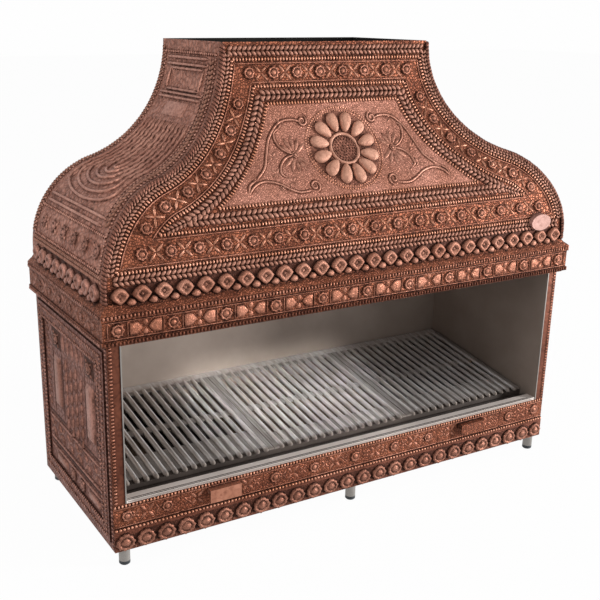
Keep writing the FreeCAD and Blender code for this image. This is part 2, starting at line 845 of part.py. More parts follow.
save("floor_pan", floor_pan())
save("back_panel", back_panel())
save("back_liner", back_liner())
save("back_insulation", back_insulation())
save("top_frame", *top_frame())
left_pieces = {
    "side_panel": left_side_panel(),
    "side_frame": left_side_frame(),
    "post": left_post(),
    "liner": left_liner(),
    "insulation": left_insulation(),
    "cornice": left_cornice(),
    "bud_band": left_bud_band(),
    "hip_rope": left_hip_rope(),
    "hood_panel": hood_left_panel(),
}
for piece_name, piece in left_pieces.items():
    save("left_" + piece_name, piece)
    save("right_" + piece_name, mirrored(piece))

save("front_fascia", front_fascia())
save("plinth_moulding", plinth_moulding())
save("skewer_ledge", skewer_ledge())
save("grease_gutter", grease_gutter())
save("hearth_plate", hearth_plate())
save("hearth_bearers", hearth_bearer(), mirrored(hearth_bearer()))
save("drawer_runners", *[drawer_runner(centre, side) for centre in (-drawer_centre, drawer_centre)
                         for side in (-1, 1)])
save("firebricks", *firebricks())
save("ash_grids", ash_grid(-drawer_centre), ash_grid(drawer_centre))
save("front_grate_rail", front_grate_rail())
save("rear_grate_rail", rear_grate_rail())
for grate_index, grate_name in enumerate(grate_names):
    save(grate_name, cooking_grate(grate_index))

for drawer_name, drawer_x in (("left", -drawer_centre), ("right", drawer_centre)):
    save(drawer_name + "_drawer_tray", drawer_tray(drawer_x))
    save(drawer_name + "_drawer_front", drawer_front(drawer_x))
    save(drawer_name + "_drawer_pull", drawer_pull(drawer_x))

save("front_cornice", front_cornice())
save("hood_front_panel", hood_front_panel())
save("hood_back_panel", hood_back_panel())
save("flue_collar", *flue_collar())
save("front_bud_band", front_bud_band())
save("hood_front_frame", hood_front_frame())
save("hood_medallion", hood_medallion())
save("badge_plate", badge_plate())
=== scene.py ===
"""Looks of a charcoal grill in embossed copper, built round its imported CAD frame."""

import math

import bpy
import numpy as np
from mathutils import Matrix, Vector


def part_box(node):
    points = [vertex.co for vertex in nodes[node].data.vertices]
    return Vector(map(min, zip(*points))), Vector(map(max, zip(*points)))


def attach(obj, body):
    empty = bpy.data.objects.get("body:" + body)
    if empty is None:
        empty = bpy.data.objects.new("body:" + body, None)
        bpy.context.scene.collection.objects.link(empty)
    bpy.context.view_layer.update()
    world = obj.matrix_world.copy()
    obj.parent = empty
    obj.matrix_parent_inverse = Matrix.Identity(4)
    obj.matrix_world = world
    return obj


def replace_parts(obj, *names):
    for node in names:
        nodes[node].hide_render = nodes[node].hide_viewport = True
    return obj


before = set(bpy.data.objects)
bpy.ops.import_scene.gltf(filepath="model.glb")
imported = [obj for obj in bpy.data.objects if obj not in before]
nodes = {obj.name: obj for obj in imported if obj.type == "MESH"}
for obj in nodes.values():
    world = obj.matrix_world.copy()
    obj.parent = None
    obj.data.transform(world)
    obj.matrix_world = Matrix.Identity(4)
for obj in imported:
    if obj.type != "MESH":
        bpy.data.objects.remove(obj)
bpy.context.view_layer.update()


# Legs and feet
# Six short legs of round stainless tube are welded under the base frame. A black moulded rubber
# foot screws into each of them and levels the grill.
mm = 0.001


def linear(colour):
    """Linear RGBA of an sRGB hex colour."""
    channels = [int(colour[i:i + 2], 16) / 255 for i in (1, 3, 5)]
    return (*[c / 12.92 if c <= 0.04045 else ((c + 0.055) / 1.055) ** 2.4 for c in channels], 1.0)


def add_node(tree, kind, inputs=None, **settings):
    """Adds a node. Each input is a constant, or the output socket that feeds it."""
    node = tree.nodes.new(kind)
    for key, value in settings.items():
        setattr(node, key, value)
    for key, value in (inputs or {}).items():
        if isinstance(value, bpy.types.NodeSocket):
            tree.links.new(value, node.inputs[key])
        else:
            node.inputs[key].default_value = value
    return node


def new_material(name):
    """A material, its node tree, its shader and the piece's own coordinates."""
    material = bpy.data.materials.new(name)
    material.use_nodes = True
    tree = material.node_tree
    place = add_node(tree, "ShaderNodeTexCoord").outputs["Object"]
    return material, tree, tree.nodes["Principled BSDF"], place


def steel(name, light, shade, roughness=0.5, streak=0.2, grime=0.3, shine=0.85):
    """Rolled steel: streaks along X, their depth in millimetres, and clouds of heat tint or grime."""
    material, tree, shader, place = new_material(name)
    # Real rolling marks are finer than 1 mm. They are drawn 6 mm wide, so that they show.
    drawn = add_node(tree, "ShaderNodeMapping", {
        "Vector": place, "Scale": (1 / (400 * mm), 1 / (6 * mm), 1 / (6 * mm))})
    lines = add_node(tree, "ShaderNodeTexNoise", {
        "Vector": drawn.outputs["Vector"], "Scale": 1.0, "Detail": 2.0})
    clouds = add_node(tree, "ShaderNodeTexNoise", {"Vector": place, "Scale": 1 / (120 * mm), "Detail": 5.0})
    tone = add_node(tree, "ShaderNodeMapRange", {
        "Value": clouds.outputs["Fac"], "From Min": 0.5 - grime, "From Max": 0.5 + grime})
    colour = add_node(tree, "ShaderNodeMix", {
        "Factor": tone.outputs["Result"], "A": linear(shade), "B": linear(light)}, data_type="RGBA")
    bump = add_node(tree, "ShaderNodeBump", {
        "Height": lines.outputs["Fac"], "Distance": streak * mm, "Strength": 0.5})
    tree.links.new(colour.outputs["Result"], shader.inputs["Base Color"])
    tree.links.new(bump.outputs["Normal"], shader.inputs["Normal"])
    shader.inputs["Metallic"].default_value = shine
    shader.inputs["Roughness"].default_value = roughness
    return material


def grainy(name, dark, pale, grain, detail, roughness):
    """A matt material in two tones, mottled at the size of its grain in millimetres."""
    material, tree, shader, place = new_material(name)
    mottle = add_node(tree, "ShaderNodeTexNoise", {
        "Vector": place, "Scale": 1 / (grain * mm), "Detail": detail})
    tone = add_node(tree, "ShaderNodeMix", {
        "Factor": mottle.outputs["Fac"], "A": linear(dark), "B": linear(pale)}, data_type="RGBA")
    tree.links.new(tone.outputs["Result"], shader.inputs["Base Color"])
    shader.inputs["Roughness"].default_value = roughness
    return material


def wear(material, *names):
    """Gives CAD nodes a material."""
    for name in names:
        nodes[name].data.materials.clear()
        nodes[name].data.materials.append(material)


# Drawn tube: a soft grey sheen with faint streaks.
leg_steel = steel("Dull stainless tube", "#9C9792", "#7F7A75", roughness=0.45)
# Moulded rubber: near black and matt, with a faint mottle.
pad_rubber = grainy("Black moulded rubber", "#15171A", "#2C3238", grain=4, detail=2.0, roughness=0.5)
wear(leg_steel, "legs")
wear(pad_rubber, *[name for name in nodes if name.endswith("_foot")])

# Frame and hidden sheets
# The base and top frames are welded from mild steel tube. The floor pan, backs, deck, bearers,
# runners and drawer trays are folded from mild steel sheet and fixed to them.

# Oiled steel: dark grey with cloudy patches.
mild_steel = steel("Oiled mild steel", "#74706C", "#5A5653", streak=0.3, grime=0.4)
wear(mild_steel, "base_frame", "floor_pan", "back_panel", "top_frame", "hearth_plate", "hearth_bearers",
     "drawer_runners", "left_drawer_tray", "right_drawer_tray", "hood_back_panel")


# Plinth
# A strip of thin copper runs along the foot of the front, beaten from behind into a row of
# scalloped lobes with leaf tips between them. A bead line closes it above.
scene = bpy.context.scene


def copper(name, bright, deep, patina, mark, cut, tarnish, roughness, hollow, shine=0.8):
    """Beaten copper: clouds of two tones, tool marks with patina in them, and hollows and the ground beside
    relief darkened, partly as patina and partly as painted shade.

    A mark's width, its cut and the reach of a hollow are in millimetres.
    """
    material, tree, shader, place = new_material(name)
    clouds = add_node(tree, "ShaderNodeTexNoise", {"Vector": place, "Scale": 1 / (90 * mm), "Detail": 4.0})
    specks = add_node(tree, "ShaderNodeTexNoise", {"Vector": place, "Scale": 1 / (12 * mm), "Detail": 3.0})
    sway = add_node(tree, "ShaderNodeTexNoise", {"Vector": place, "Scale": 0.4 / (mark * mm), "Detail": 1.0})
    bent = add_node(tree, "ShaderNodeVectorMath", {
        0: sway.outputs["Color"], 1: (1.8 * mark * mm,) * 3, 2: place}, operation="MULTIPLY_ADD")
    marks = add_node(tree, "ShaderNodeTexVoronoi", {
        "Vector": bent.outputs["Vector"], "Scale": 1 / (mark * mm)}, feature="DISTANCE_TO_EDGE")
    ground = add_node(tree, "ShaderNodeMapRange", {"Value": marks.outputs["Distance"], "From Max": 0.22})
    tone = add_node(tree, "ShaderNodeMapRange", {
        "Value": clouds.outputs["Fac"], "From Min": 0.35, "From Max": 0.65})
    metal = add_node(tree, "ShaderNodeMix", {
        "Factor": tone.outputs["Result"], "A": linear(bright), "B": linear(deep)}, data_type="RGBA")
    # Painted shade and patina: ambient occlusion darkens hollows and the ground beside relief towards the
    # patina colour.
    depth = add_node(tree, "ShaderNodeAmbientOcclusion", {"Distance": hollow * mm}, samples=6)
    unshaded_plus_specks = add_node(tree, "ShaderNodeMath", {
        0: depth.outputs["AO"], 1: specks.outputs["Fac"]}, operation="ADD")
    bare = add_node(tree, "ShaderNodeMapRange", {
        "Value": unshaded_plus_specks.outputs["Value"], "From Min": 1.02, "From Max": 1.5})
    clean = add_node(tree, "ShaderNodeMapRange", {"Value": ground.outputs["Result"], "To Min": 1 - tarnish})
    # rubbed is the share of bare metal left after patina in the marks and painted shade in the hollows.
    rubbed = add_node(tree, "ShaderNodeMath", {
        0: bare.outputs["Result"], 1: clean.outputs["Result"]}, operation="MULTIPLY")
    skin = add_node(tree, "ShaderNodeMix", {
        "Factor": rubbed.outputs["Value"], "A": linear(patina), "B": metal.outputs["Result"]},
        data_type="RGBA")
    rough = add_node(tree, "ShaderNodeMapRange", {
        "Value": rubbed.outputs["Value"], "To Min": 0.75, "To Max": roughness})
    bump = add_node(tree, "ShaderNodeBump", {
        "Height": ground.outputs["Result"], "Distance": cut * mm, "Strength": 0.9})
    tree.links.new(skin.outputs["Result"], shader.inputs["Base Color"])
    tree.links.new(rough.outputs["Result"], shader.inputs["Roughness"])
    tree.links.new(bump.outputs["Normal"], shader.inputs["Normal"])
    shader.inputs["Metallic"].default_value = shine
    return material


def plain_mesh(name, points, faces, rounded=False):
    """A mesh of points and faces, shaded flat or round."""
    mesh = bpy.data.meshes.new(name)
    mesh.from_pydata(points, [], faces)
    if rounded:
        mesh.shade_smooth()
    return mesh


def keep(mesh, metal, body="cabinet"):
    """Puts a finished mesh into the scene as a piece that rides a body."""
    mesh.materials.clear()
    mesh.materials.append(metal)
    piece = bpy.data.objects.new(mesh.name, mesh)
    scene.collection.objects.link(piece)
    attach(piece, body)
    return piece


def boxes(corners):
    """Points and faces of plain boxes, each given by its lowest and highest corners."""
    points = []
    faces = []
    for low, high in corners:
        start = len(points)
        points += [(x, y, z) for x in (low[0], high[0]) for y in (low[1], high[1]) for z in (low[2], high[2])]
        for quad in ((0, 4, 5, 1), (2, 3, 7, 6), (0, 2, 6, 4), (1, 5, 7, 3), (0, 1, 3, 2), (4, 6, 7, 5)):
            faces.append([start + k for k in quad])
    return points, faces


def flat(corner, across, up):
    """A flat sheet to draw on. At a distance across and up it gives the point, out, across and up."""
    corner, across, up = Vector(corner), Vector(across), Vector(up)
    return lambda u, s: (corner + across * float(u) + up * float(s), across.cross(up), across, up)


def spot(sheet, u, s, size, turn=0.0, lift=0.0):
    """Place of one figure on a sheet, turned in the sheet's plane: its point, out, along and size."""
    point, out, across, up = sheet(u, s)
    return point + out * lift, out, across * math.cos(turn) + up * math.sin(turn), size


def run_of(line):
    """Distance run at each point of a line."""
    return np.concatenate([[0], np.cumsum(np.hypot(*np.diff(line, axis=0).T))])


def along(sheet, line, pitch, size, turn=0.0, lift=0.0):
    """Places spread evenly along a line drawn on a sheet."""
    line = np.array(line, float)
    run = run_of(line)
    count = max(1, round(run[-1] / pitch))
    places = []
    for at in (np.arange(count) + 0.5) * run[-1] / count:
        u, s = np.interp(at, run, line[:, 0]), np.interp(at, run, line[:, 1])
        i = min(np.searchsorted(run, at), len(line) - 1) - 1
        heading = math.atan2(line[i + 1, 1] - line[i, 1], line[i + 1, 0] - line[i, 0])
        places.append(spot(sheet, u, s, size, heading + turn, lift))
    return places


def shifted(line, off):
    """A line moved to its left on the sheet, by one distance or by one for each point."""
    line = np.array(line, float)
    slope = np.gradient(line, axis=0)
    slope /= np.maximum(np.hypot(slope[:, 0], slope[:, 1]), 1e-9)[:, None]
    return line + np.reshape(off, (-1, 1)) * np.stack([-slope[:, 1], slope[:, 0]], 1)


def smooth(points, steps):
    """A curve drawn through points."""
    points = np.array([points[0], *points, points[-1]], float)
    curve = []
    for a, b, c, d in zip(points, points[1:], points[2:], points[3:]):
        for t in np.arange(steps) / steps:
            curve.append(0.5 * (2 * b + (c - a) * t + (2 * a - 5 * b + 4 * c - d) * t ** 2
                                + (3 * b - a - 3 * c + d) * t ** 3))
    return np.array(curve + [points[-1]])


def level(half, s, steps=40):
    """A level line across a sheet, as far to the left as to the right."""
    return smooth([(-half, s), (half, s)], steps)


def ridges(name, sheet, lines, width, rise, metal, body="cabinet"):
    """Half-round ridges along lines on a sheet, tapered at their ends."""
    points, faces = [], []
    for line in lines:
        run = run_of(line)
        full = np.minimum(1.0, 0.3 + np.minimum(run, run[-1] - run) / (3 * width))
        rails = []
        for off, high in ((-0.5, -0.3), (-0.32, 0.7), (0, 1), (0.32, 0.7), (0.5, -0.3)):
            rails.append((shifted(line, off * width * full), high * rise * full))
        for i in range(len(line)):
            start = len(points)
            for rail, heights in rails:
                point, out, _, _ = sheet(*rail[i])
                points.append(point + out * float(heights[i]))
            if i:
                faces += [(start - 5 + k, start + k, start + k + 1, start - 4 + k) for k in range(4)]
    return keep(plain_mesh(name, points, faces, True), metal, body)


# Each small figure is struck with a punch, so a row repeats one figure by hand. The tree sets
# the figure at marked places, with sizes a little uneven, as a hand leaves them.
punch_row = bpy.data.node_groups.new("Punched row", "GeometryNodeTree")
for title, kind, way in (("Places", "NodeSocketGeometry", "INPUT"), ("Figure", "NodeSocketObject", "INPUT"),
                         ("Unevenness", "NodeSocketFloat", "INPUT"), ("Seed", "NodeSocketInt", "INPUT"),
                         ("Metal", "NodeSocketMaterial", "INPUT"), ("Row", "NodeSocketGeometry", "OUTPUT")):
    punch_row.interface.new_socket(title, in_out=way, socket_type=kind)
given = add_node(punch_row, "NodeGroupInput").outputs
marked = {}
for title in ("out", "along", "size"):
    named = add_node(punch_row, "GeometryNodeInputNamedAttribute", {"Name": title}, data_type="FLOAT_VECTOR")
    marked[title] = named.outputs["Attribute"]
turned = add_node(punch_row, "FunctionNodeAxesToRotation", {
    "Primary Axis": marked["out"], "Secondary Axis": marked["along"]}, primary_axis="Z", secondary_axis="X")
least = add_node(punch_row, "ShaderNodeMath", {0: 1.0, 1: given["Unevenness"]}, operation="SUBTRACT")
most = add_node(punch_row, "ShaderNodeMath", {0: 1.0, 1: given["Unevenness"]}, operation="ADD")
chance = add_node(punch_row, "FunctionNodeRandomValue", {
    2: least.outputs["Value"], 3: most.outputs["Value"], "Seed": given["Seed"]})
scaled = add_node(punch_row, "ShaderNodeVectorMath", {
    0: marked["size"], "Scale": chance.outputs[1]}, operation="SCALE")
punch = add_node(punch_row, "GeometryNodeObjectInfo", {"Object": given["Figure"]})
copies = add_node(punch_row, "GeometryNodeInstanceOnPoints", {
    "Points": given["Places"], "Instance": punch.outputs["Geometry"],
    "Rotation": turned.outputs["Rotation"], "Scale": scaled.outputs["Vector"]})
real = add_node(punch_row, "GeometryNodeRealizeInstances", {"Geometry": copies.outputs["Instances"]})
struck = add_node(punch_row, "GeometryNodeSetMaterial", {
    "Geometry": real.outputs["Geometry"], "Material": given["Metal"]})
add_node(punch_row, "NodeGroupOutput", {"Row": struck.outputs["Geometry"]})


def punched(name, shape, places, metal, body="cabinet", seed=1, uneven=0.05, rounded=True):
    """Strikes a figure at each place and keeps the row as one plain mesh."""
    marks = plain_mesh(name, [place[0] for place in places], [])
    for i, title in enumerate(("out", "along", "size"), 1):
        layer = marks.attributes.new(title, "FLOAT_VECTOR", "POINT")
        layer.data.foreach_set("vector", np.array([place[i] for place in places], np.float32).ravel())
    holder = bpy.data.objects.new(name, marks)
    scene.collection.objects.link(holder)
    row = holder.modifiers.new("Row", "NODES")
    row.node_group = punch_row
    values = {"Figure": shape, "Unevenness": uneven, "Seed": seed, "Metal": metal}
    for item in punch_row.interface.items_tree:
        if item.in_out == "INPUT" and item.name in values:
            row[item.identifier] = values[item.name]
    bpy.context.view_layer.update()
    mesh = bpy.data.meshes.new_from_object(holder.evaluated_get(bpy.context.evaluated_depsgraph_get()))
    bpy.data.objects.remove(holder)
    bpy.data.meshes.remove(marks)
    mesh.name = name
    if rounded:
        mesh.shade_smooth()
    return keep(mesh, metal, body)


def figure(name, points, faces):
    """A punch's figure, one unit in radius, that faces +Z."""
    shape = bpy.data.objects.new(name, plain_mesh(name, points, faces))
    scene.collection.objects.link(shape)
    shape.hide_render = True
    return shape


def stacked_rings(rings, sides):
    """Faces between rings of points, closed on one last point in the middle."""
    faces = []
    for ring in range(rings - 1):
        for i in range(sides):
            a, b = ring * sides + i, ring * sides + (i + 1) % sides
            faces.append((a, b, b + sides, a + sides))
    last = (rings - 1) * sides
    return faces + [(last + i, last + (i + 1) % sides, last + sides) for i in range(sides)]


def pressed_figure(name, outline, steps):
    """A figure pressed from an outline in (share of the outline, height) steps up to its middle."""
    points = [(x * share, y * share, height) for share, height in steps[:-1] for x, y in outline]
    points.append((0, 0, steps[-1][1]))
    return figure(name, points, stacked_rings(len(steps) - 1, len(outline)))


def round_figure(name, profile, sides, petals=0, cut=0.0):
    """A round figure turned from (radius, height) steps, with its rim cut into petals."""
    points = []
    for radius, height in profile[:-1]:
        for i in range(sides):
            angle = 2 * math.pi * i / sides
            gap = cut * radius * (0.5 - 0.5 * math.cos(petals * angle))
            reach = radius * (1 - gap)
            points.append((reach * math.cos(angle), reach * math.sin(angle), height * (1 - 1.6 * gap)))
    points.append((0, 0, profile[-1][1]))
    return figure(name, points, stacked_rings(len(profile) - 1, sides))


bead = round_figure("bead", [(1, -0.2), (0.9, 0.6), (0.5, 0.95), (0, 1)], 8)
leaf = figure("leaf", [(-1, 0, 0), (-0.45, -0.36, 0), (0.15, -0.42, 0), (1, 0, 0.1), (0.15, 0.42, 0),
                       (-0.45, 0.36, 0), (-0.4, 0, 0.7), (0.3, 0, 0.9)],
              [(0, 1, 6), (1, 2, 7, 6), (2, 3, 7), (3, 4, 7), (4, 5, 6, 7), (5, 0, 6)])
lobe_outline = []
for i in range(22):
    angle = 2 * math.pi * i / 22
    scallop = 0.87 if i % 2 else 1.0
    narrowed = 1 - 0.30 * max(0, math.sin(angle))
    lobe_outline.append((scallop * math.cos(angle) * narrowed, scallop * math.sin(angle)))
lobe = pressed_figure("lobe", lobe_outline, [(1, -0.1), (0.95, 0.5), (0.84, 0.80), (0.66, 0.72),
                                             (0.54, 0.40), (0.42, 0.75), (0.22, 1.0), (0, 1.05)])

# Recessed ground: dull brown between the raised figures.
recess_copper = copper("Recessed copper ground", "#7C4B3A", "#653828", "#33180F", mark=8, cut=0.6,
                       tarnish=0.3, roughness=0.55, hollow=6)
# Almost black brown: patina, and painted shade where it lies as the ground between the lobes and between the
# buds, and in the dark lines on the side walls.
patina_and_shade_copper = copper("Patina-black copper", "#5A3325", "#472519", "#1E0D08", mark=8, cut=0.8, tarnish=0.4,
                       roughness=0.6, hollow=10)
# Dull rubbed lobes: pink-brown crests, dark at the foot.
plinth_relief = copper("Dull rubbed copper", "#A87460", "#8E5D4B", "#2C140C", mark=8, cut=0.6, tarnish=0.3,
                       roughness=0.5, hollow=12)
# Rubbed relief: bright salmon crests that catch the light.
raised_copper = copper("Rubbed copper relief", "#D69A80", "#B97C5F", "#4C2517", mark=6, cut=0.4, tarnish=0.25,
                       roughness=0.40, hollow=6)
fascia_low, fascia_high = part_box("front_fascia")
plinth_low, plinth_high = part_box("plinth_moulding")
half_width = fascia_high[0]
front_y = fascia_low[1]
strip_y = front_y - 0.003
front = flat((0, front_y, 0), (1, 0, 0), (0, 0, 1))
plinth_face = flat((0, strip_y, 0), (1, 0, 0), (0, 0, 1))
lobe_count = 26
lobe_pitch = 2 * half_width / lobe_count
lobe_z = 0.0780
lobe_size = (0.0300, 0.0268, 0.0115)
tip_z = 0.0585
tip_size = (0.007, 0.0080, 0.005)
plinth_bead_z = 0.1165
plinth_bead = (0.0042, 0.0042, 0.0045)
lobes = []
tips = []
for i in range(lobe_count):
    x = -half_width + lobe_pitch * (i + 0.5)
    lobes.append(spot(plinth_face, x, lobe_z, lobe_size))
    if i:
        tips.append(spot(plinth_face, x - lobe_pitch / 2, tip_z, tip_size, math.pi / 2))
strip_box = ((-half_width, strip_y, plinth_low[2]), (half_width, front_y, plinth_high[2]))
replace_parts(keep(plain_mesh("plinth_strip", *boxes([strip_box])), recess_copper), "plinth_moulding")
# Painted shade: this dark strip behind the lobes shows as the shadow between them.
ridges("plinth_ground", plinth_face, [level(0.798, 0.081)], 0.050, 0.0008, patina_and_shade_copper)
punched("plinth_lobes", lobe, lobes, plinth_relief, seed=3)
punched("plinth_tips", leaf, tips, plinth_relief, seed=4)
bead_line = [(-half_width, plinth_bead_z), (half_width, plinth_bead_z)]
punched("plinth_beads", bead, along(front, bead_line, 0.0115, plinth_bead, lift=0.003), raised_copper, seed=5)

# Front band and ash drawers
# The copper sheet over the plinth is chased with rosettes between sprays of leaves. Two ash
# drawers are cut into it, with fronts of the same sheet and plain folded copper pulls.

# Embossed sheet: red-brown, cut all over by small tool marks with near black in them.
sheet_copper = copper("Embossed copper sheet", "#96593F", "#7C452F", "#2A120A", mark=8.5, cut=1.6,
                      tarnish=0.7, roughness=0.46, hollow=14)
# Half-rubbed relief: brown-pink crests with dark brown round them.
chased_copper = copper("Half-rubbed copper relief", "#B97E67", "#9A614A", "#381A10", mark=6, cut=0.6,
                       tarnish=0.35, roughness=0.42, hollow=8)
# Left pull: smooth, and painted a little paler than the sheet as the lit one of the two pulls.
lit_pull_copper = copper("Bare copper pull", "#B47C65", "#A06A53", "#5A2F20", mark=30, cut=0.4, tarnish=0.2,
                     roughness=0.46, hollow=6)
# Painted shade: the right pull wears the darker sheet copper, though the two pulls are alike.
wear(sheet_copper, "front_fascia", "left_drawer_front", "right_drawer_front", "right_drawer_pull")
wear(lit_pull_copper, "left_drawer_pull")
rosette = round_figure("rosette", [(1, -0.1), (0.92, 0.7), (0.72, 0.75), (0.54, 0.1), (0.4, 0.7), (0, 0.95)],
                       16, petals=8, cut=0.2)


def spray(sheet, u, s, size, spread):
    """Four leaves that lie crosswise round a point."""
    leaves = []
    for quarter in range(4):
        angle = math.pi / 4 + quarter * math.pi / 2
        leaves.append(spot(sheet, u + spread * math.cos(angle), s + spread * math.sin(angle), size, angle))
    return leaves


band_z = 0.154
band_rosette = (0.0185, 0.0185, 0.007)
band_leaf = (0.013, 0.010, 0.004)
small_leaf = (0.008, 0.006, 0.003)
drawers = {"left_ash_drawer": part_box("left_drawer_front"), "right_ash_drawer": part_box("right_drawer_front")}
band_rosettes = []
for x in (0, 0.152, 0.29, 0.64, 0.76):
    for side in ((-1, 1) if x else (1,)):
        band_rosettes.append(spot(front, side * x, band_z, band_rosette))
band_leaves = {"cabinet": [], "left_ash_drawer": [], "right_ash_drawer": []}
for x in (0.076, 0.228, 0.70):
    for side in (-1, 1):
        band_leaves["cabinet"] += spray(front, side * x, band_z, band_leaf, 0.017)
        for off in (-0.036, 0.036):
            band_leaves["cabinet"] += spray(front, side * (x + off), band_z, small_leaf, 0.009)
for body, (low, high) in drawers.items():
    centre = (low[0] + high[0]) / 2
    for off in (-0.082, 0.082):
        band_leaves[body] += spray(front, centre + off, band_z, band_leaf, 0.016)
        band_leaves[body] += spray(front, centre + 1.36 * off, band_z, small_leaf, 0.009)
punched("band_rosettes", rosette, band_rosettes, chased_copper, seed=6)
for body in band_leaves:
    punched("band_leaves_" + body, leaf, band_leaves[body], chased_copper, body, seed=7)
band_bead_z = 0.1862
bead_line = [(-half_width, band_bead_z), (half_width, band_bead_z)]
punched("band_beads", bead, along(front, bead_line, 0.0105, (0.0036, 0.0050, 0.0036)), raised_copper, seed=8)
rule_end = 0.798
(left_low, left_high), (right_low, right_high) = drawers.values()
stretches = (("cabinet", -rule_end, left_low[0] - 0.002),
             ("left_ash_drawer", left_low[0] + 0.001, left_high[0] - 0.001),
             ("cabinet", left_high[0] + 0.002, right_low[0] - 0.002),
             ("right_ash_drawer", right_low[0] + 0.001, right_high[0] - 0.001),
             ("cabinet", right_high[0] + 0.002, rule_end))
for body in band_leaves:
    rules = []
    for z in (0.1245, 0.1790):
        rules += [smooth([(start, z), (end, z)], 20) for owner, start, end in stretches if owner == body]
    ridges("band_rules_" + body, front, rules, 0.0035, 0.002, chased_copper, body)

# Side walls
# Each side is one copper sheet with a raised border round a sunk panel, beaten from behind.
# Smooth strips flank a column of lapped leaves in its upper part, and plainer bands lie below.

# Dull sheet: brown, with broad shallow marks.
wall_copper = copper("Dull low-relief copper sheet", "#8E5F52", "#774B40", "#3E231A", mark=18, cut=2.2,
                     tarnish=0.5, roughness=0.5, hollow=30)
# Dull relief: dusty pink-brown, dark only at its foot.
wall_relief = copper("Dull copper relief", "#AE7D6E", "#946656", "#2A130C", mark=12, cut=0.5, tarnish=0.15,
                     roughness=0.48, hollow=12)
wear(wall_copper, "left_side_panel", "right_side_panel", "left_side_frame", "right_side_frame")
tile = figure("tile", [(-1, -1, -0.3), (1, -1, -0.3), (1, 1, -0.3), (-1, 1, -0.3),
                       (-0.86, -0.86, 0.9), (0.86, -0.86, 0.9), (0.86, 0.86, 0.9), (-0.86, 0.86, 0.9)],
              [(0, 1, 5, 4), (1, 2, 6, 5), (2, 3, 7, 6), (3, 0, 4, 7), (4, 5, 6, 7)])
border_low, border_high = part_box("left_side_frame")
border_x = -border_low[0]
wall_y = (border_low[1] + border_high[1]) / 2
wall_z = (border_low[2] + border_high[2]) / 2
border_loop = np.array([(-0.262, -0.263), (0.262, -0.263), (0.262, 0.263), (-0.262, 0.263), (-0.262, -0.263)])
wall_pitch = 0.0125
tuft_leaf = (0.009, 0.006, 0.003)
for name, side in (("left", -1), ("right", 1)):
    wall = flat((side * half_width, wall_y, wall_z), (0, side, 0), (0, 0, 1))
    border = flat((side * border_x, wall_y, wall_z), (0, side, 0), (0, 0, 1))
    # The pattern's places are measured from the middle of the wall, forward and up.
    forward = -side
    beads = []
    for k in range(4):
        for share in (1.0, 0.9):
            beads += along(border, share * border_loop[k:k + 2], wall_pitch, (0.0042, 0.005, 0.0035))
    front_edge = [(forward * 0.293, -0.295), (forward * 0.293, 0.295)]
    beads += along(wall, front_edge, wall_pitch, (0.0042, 0.005, 0.0038))
    punched(name + "_side_beads", bead, beads, wall_relief, seed=9)
    groove_shade_lines = []
    leaves = []
    plates = []
    corners = []
    flowers = []
    for w in (-0.118, 0.160):
        plates.append(spot(wall, forward * w, 0.058, (0.029, 0.086, 0.0050)))
        plates.append(spot(wall, forward * w, -0.205, (0.046, 0.012, 0.0045)))
        corners.append(spot(wall, forward * w, 0.194, (0.038, 0.030, 0.0016)))
        flowers.append(spot(wall, forward * w, 0.194, (0.019, 0.019, 0.009)))
        leaves += spray(wall, forward * w, 0.194, (0.011, 0.008, 0.006), 0.024)
        for off in (-0.041, 0.041):
            groove_shade_lines.append(smooth([(forward * (w + off), -0.052), (forward * (w + off), 0.160)], 20))
    for column in range(4):
        for row in range(6):
            w = 0.021 + 0.042 * (column - 1.5)
            v = 0.135 - 0.037 * row - 0.018 * (column % 2)
            leaves.append(spot(wall, forward * w, v, (0.0215, 0.0150, 0.0085), -math.pi / 2))
    for w in (-0.058, -0.019, 0.020, 0.059, 0.098):
        leaves.append(spot(wall, forward * w, 0.197, (0.030, 0.020, 0.0070), math.pi / 2))
    groove_shade_lines += [level(0.222, v, 20) for v in (-0.064, -0.165)]
    rules = [level(0.215, v, 20) for v in (-0.078, -0.151, -0.178)]
    for w in np.arange(-0.19, 0.2, 0.076):
        leaves += spray(wall, w, -0.115, (0.019, 0.012, 0.0065), 0.019)
    flowers += [spot(wall, w, -0.205, (0.022, 0.022, 0.008)) for w in (-0.020, 0.060)]
    for w in (-0.205, 0.215):
        for v in (-0.03, 0.01, 0.05, 0.09, 0.13, 0.17, 0.21):
            leaves += spray(wall, forward * w, v, (0.010, 0.007, 0.0050), 0.009)
    ridges(name + "_side_rules", wall, rules, 0.008, 0.0055, wall_relief)
    # Painted shade: dark lines beside the plates and across the panel stand for the shade of sunk lines.
    ridges(name + "_side_grooves", wall, groove_shade_lines, 0.009, 0.0012, patina_and_shade_copper)
    punched(name + "_side_corners", tile, corners, patina_and_shade_copper, seed=40)
    punched(name + "_side_plates", tile, plates, wall_relief, seed=30)
    punched(name + "_side_leaves", leaf, leaves, wall_relief, seed=10)
    punched(name + "_side_flowers", rosette, flowers, wall_relief, seed=29)
    tufts = []
    for v in np.arange(-0.232, 0.24, 0.058):
        for edge in (-0.249, 0.249):
            tufts += spray(border, edge, v, tuft_leaf, 0.0085) + spray(border, v, edge, tuft_leaf, 0.0085)
    punched(name + "_side_tufts", leaf, tufts, wall_relief, seed=31)

# Posts
# A copper strip is folded round the front edge of each side wall, with a bead line along the
# fold. A bright strip of stainless steel edges it beside the window.

